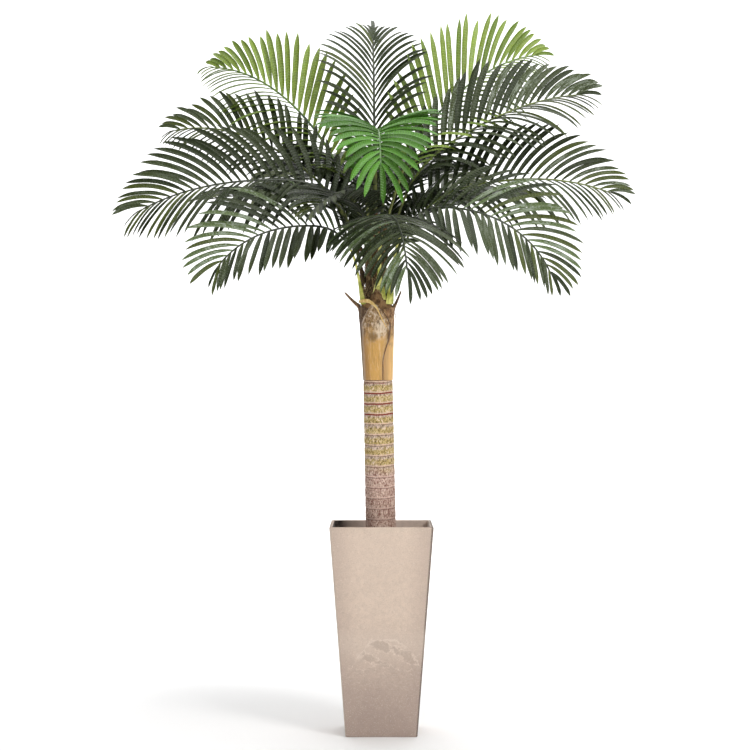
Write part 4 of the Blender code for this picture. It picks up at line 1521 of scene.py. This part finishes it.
FLOOR_FRONT = -12.0
BEND_START = 9.5
BEND_RADIUS = 2.5
BEND_STEPS = 16
WALL_TOP = 9.0
HALF_WIDTH = 13.0
CAMERA_X = -0.0185
SENSOR_WIDTH = 36.0  # millimetres, like the lens
WORLD_STRENGTH = 0.30
# Name, place, target, size, power and colour of each light
LIGHTS = (
    ("key", (2.9, -4.0, 3.4), (0.0, 0.0, 1.2), 1.6, 130.0, (1.0, 0.985, 0.965)),
    ("fill", (-3.2, -3.8, 2.0), (0.0, 0.0, 1.1), 2.6, 30.0, (0.97, 0.985, 1.0)),
    ("top", (0.6, -0.8, 5.0), (0.0, 0.0, 1.0), 2.6, 110.0, WHITE),
    ("backdrop", (0.0, 8.5, 6.5), (0.0, 12.0, 1.5), 7.0, 480.0, WHITE),
    ("floor", (0.0, 4.2, 6.0), (0.0, 6.6, 0.6), 6.0, 400.0, WHITE),
)


def make_sweep(colour):
    """A pale floor that sweeps up behind the plant."""
    profile = [(FLOOR_FRONT, 0.0)]
    for angle in quarter(BEND_STEPS):
        profile.append((BEND_START + BEND_RADIUS * math.sin(angle), BEND_RADIUS * (1 - math.cos(angle))))
    profile.append((BEND_START + BEND_RADIUS, WALL_TOP))
    points = [(x, y, z) for y, z in profile for x in (-HALF_WIDTH, HALF_WIDTH)]
    faces = [(i, i + 1, i + 3, i + 2) for i in range(0, 2 * len(profile) - 2, 2)]
    mesh = bpy.data.meshes.new("sweep")
    mesh.from_pydata(points, [], faces)
    mesh.shade_smooth()
    mesh.materials.append(Finish("pale_sweep", 0.9).painted(tuple(colour)))
    sweep = add_object("sweep", mesh)


def add_light(name, place, target, size, power, colour):
    data = bpy.data.lights.new(name, "AREA")
    data.size, data.energy, data.color = size, power, colour
    light = add_object(name, data)
    light.location = place
    light.rotation_euler = (Vector(target) - light.location).to_track_quat("-Z", "Y").to_euler()


def make_stage(stage):
    """The sweep, soft lights and the camera."""
    make_sweep(stage.floor)
    for light in LIGHTS:
        add_light(*light)
    scene = bpy.context.scene
    scene.world = bpy.data.worlds.new("studio")
    scene.world.use_nodes = True
    background = scene.world.node_tree.nodes["Background"].inputs
    background["Color"].default_value = (*WHITE, 1.0)
    background["Strength"].default_value = WORLD_STRENGTH
    data = bpy.data.cameras.new("camera")
    data.lens, data.sensor_width = stage.lens, SENSOR_WIDTH
    scene.camera = add_object("camera", data)
    scene.camera.location = (CAMERA_X, -stage.distance, stage.height)
    scene.camera.rotation_euler = (math.radians(90), 0.0, 0.0)
    scene.view_settings.view_transform = "Standard"


# Operators, panel and registration


class PALM_OT_planter(bpy.types.Operator):
    """Adds the clay planter's shell"""

    bl_idname = "palm.planter"
    bl_label = "Planter"

    def execute(self, context):
        make_planter(context.scene.palm_planter)
        return {"FINISHED"}


class PALM_OT_filling(bpy.types.Operator):
    """Adds the planter's filling and its bark chips"""

    bl_idname = "palm.filling"
    bl_label = "Filling"

    def execute(self, context):
        make_filling(context.scene.palm_planter)
        return {"FINISHED"}


class PALM_OT_trunk(bpy.types.Operator):
    """Adds the ringed bark of the trunk"""

    bl_idname = "palm.trunk"
    bl_label = "Trunk"

    def execute(self, context):
        make_trunk(context.scene.palm_trunk)
        return {"FINISHED"}


class PALM_OT_boots(bpy.types.Operator):
    """Adds the dry boots, their torn tips and the pale ribbon"""

    bl_idname = "palm.boots"
    bl_label = "Boots"

    def execute(self, context):
        make_boots()
        make_tips()
        make_ribbon()
        return {"FINISHED"}


class PALM_OT_heart(bpy.types.Operator):
    """Adds the fibrous heart, its matting and its loose threads"""

    bl_idname = "palm.heart"
    bl_label = "Heart"

    def execute(self, context):
        make_heart()
        make_matting()
        make_threads()
        return {"FINISHED"}


class PALM_OT_fronds(bpy.types.Operator):
    """Grows the stalks, ribs and leaflets of all the fronds"""

    bl_idname = "palm.fronds"
    bl_label = "Fronds"

    def execute(self, context):
        make_fronds(context.scene.palm_fronds)
        return {"FINISHED"}


class PALM_OT_stage(bpy.types.Operator):
    """Adds the pale sweep, the soft lights and the camera"""

    bl_idname = "palm.stage"
    bl_label = "Stage"

    def execute(self, context):
        make_stage(context.scene.palm_stage)
        return {"FINISHED"}


OPERATORS = (
    PALM_OT_planter,
    PALM_OT_filling,
    PALM_OT_trunk,
    PALM_OT_boots,
    PALM_OT_heart,
    PALM_OT_fronds,
    PALM_OT_stage,
)


class PALM_PT_panel(bpy.types.Panel):
    """Lists the palm's sizes and colours, and the buttons that build its pieces"""

    bl_label = "Artificial palm"
    bl_idname = "PALM_PT_panel"
    bl_space_type = "VIEW_3D"
    bl_region_type = "UI"
    bl_category = "Palm"

    def draw(self, context):
        for name in SETTINGS:
            group = getattr(context.scene, name)
            column = self.layout.column(align=True)
            for key in group.__annotations__:
                column.prop(group, key)
        for operator in OPERATORS:
            self.layout.operator(operator.bl_idname)


SETTINGS = {
    "palm_planter": PlanterSettings,
    "palm_trunk": TrunkSettings,
    "palm_fronds": FrondSettings,
    "palm_stage": StageSettings,
}
CLASSES = (*SETTINGS.values(), *OPERATORS, PALM_PT_panel)


def register():
    for cls in CLASSES:
        bpy.utils.register_class(cls)
    for name, group in SETTINGS.items():
        setattr(bpy.types.Scene, name, PointerProperty(type=group))


def unregister():
    for name in SETTINGS:
        delattr(bpy.types.Scene, name)
    for cls in reversed(CLASSES):
        bpy.utils.unregister_class(cls)


def main():
    register()
    for name in ("planter", "filling", "trunk", "boots", "heart", "fronds", "stage"):
        getattr(bpy.ops.palm, name)()


if __name__ == "__main__":
    main()
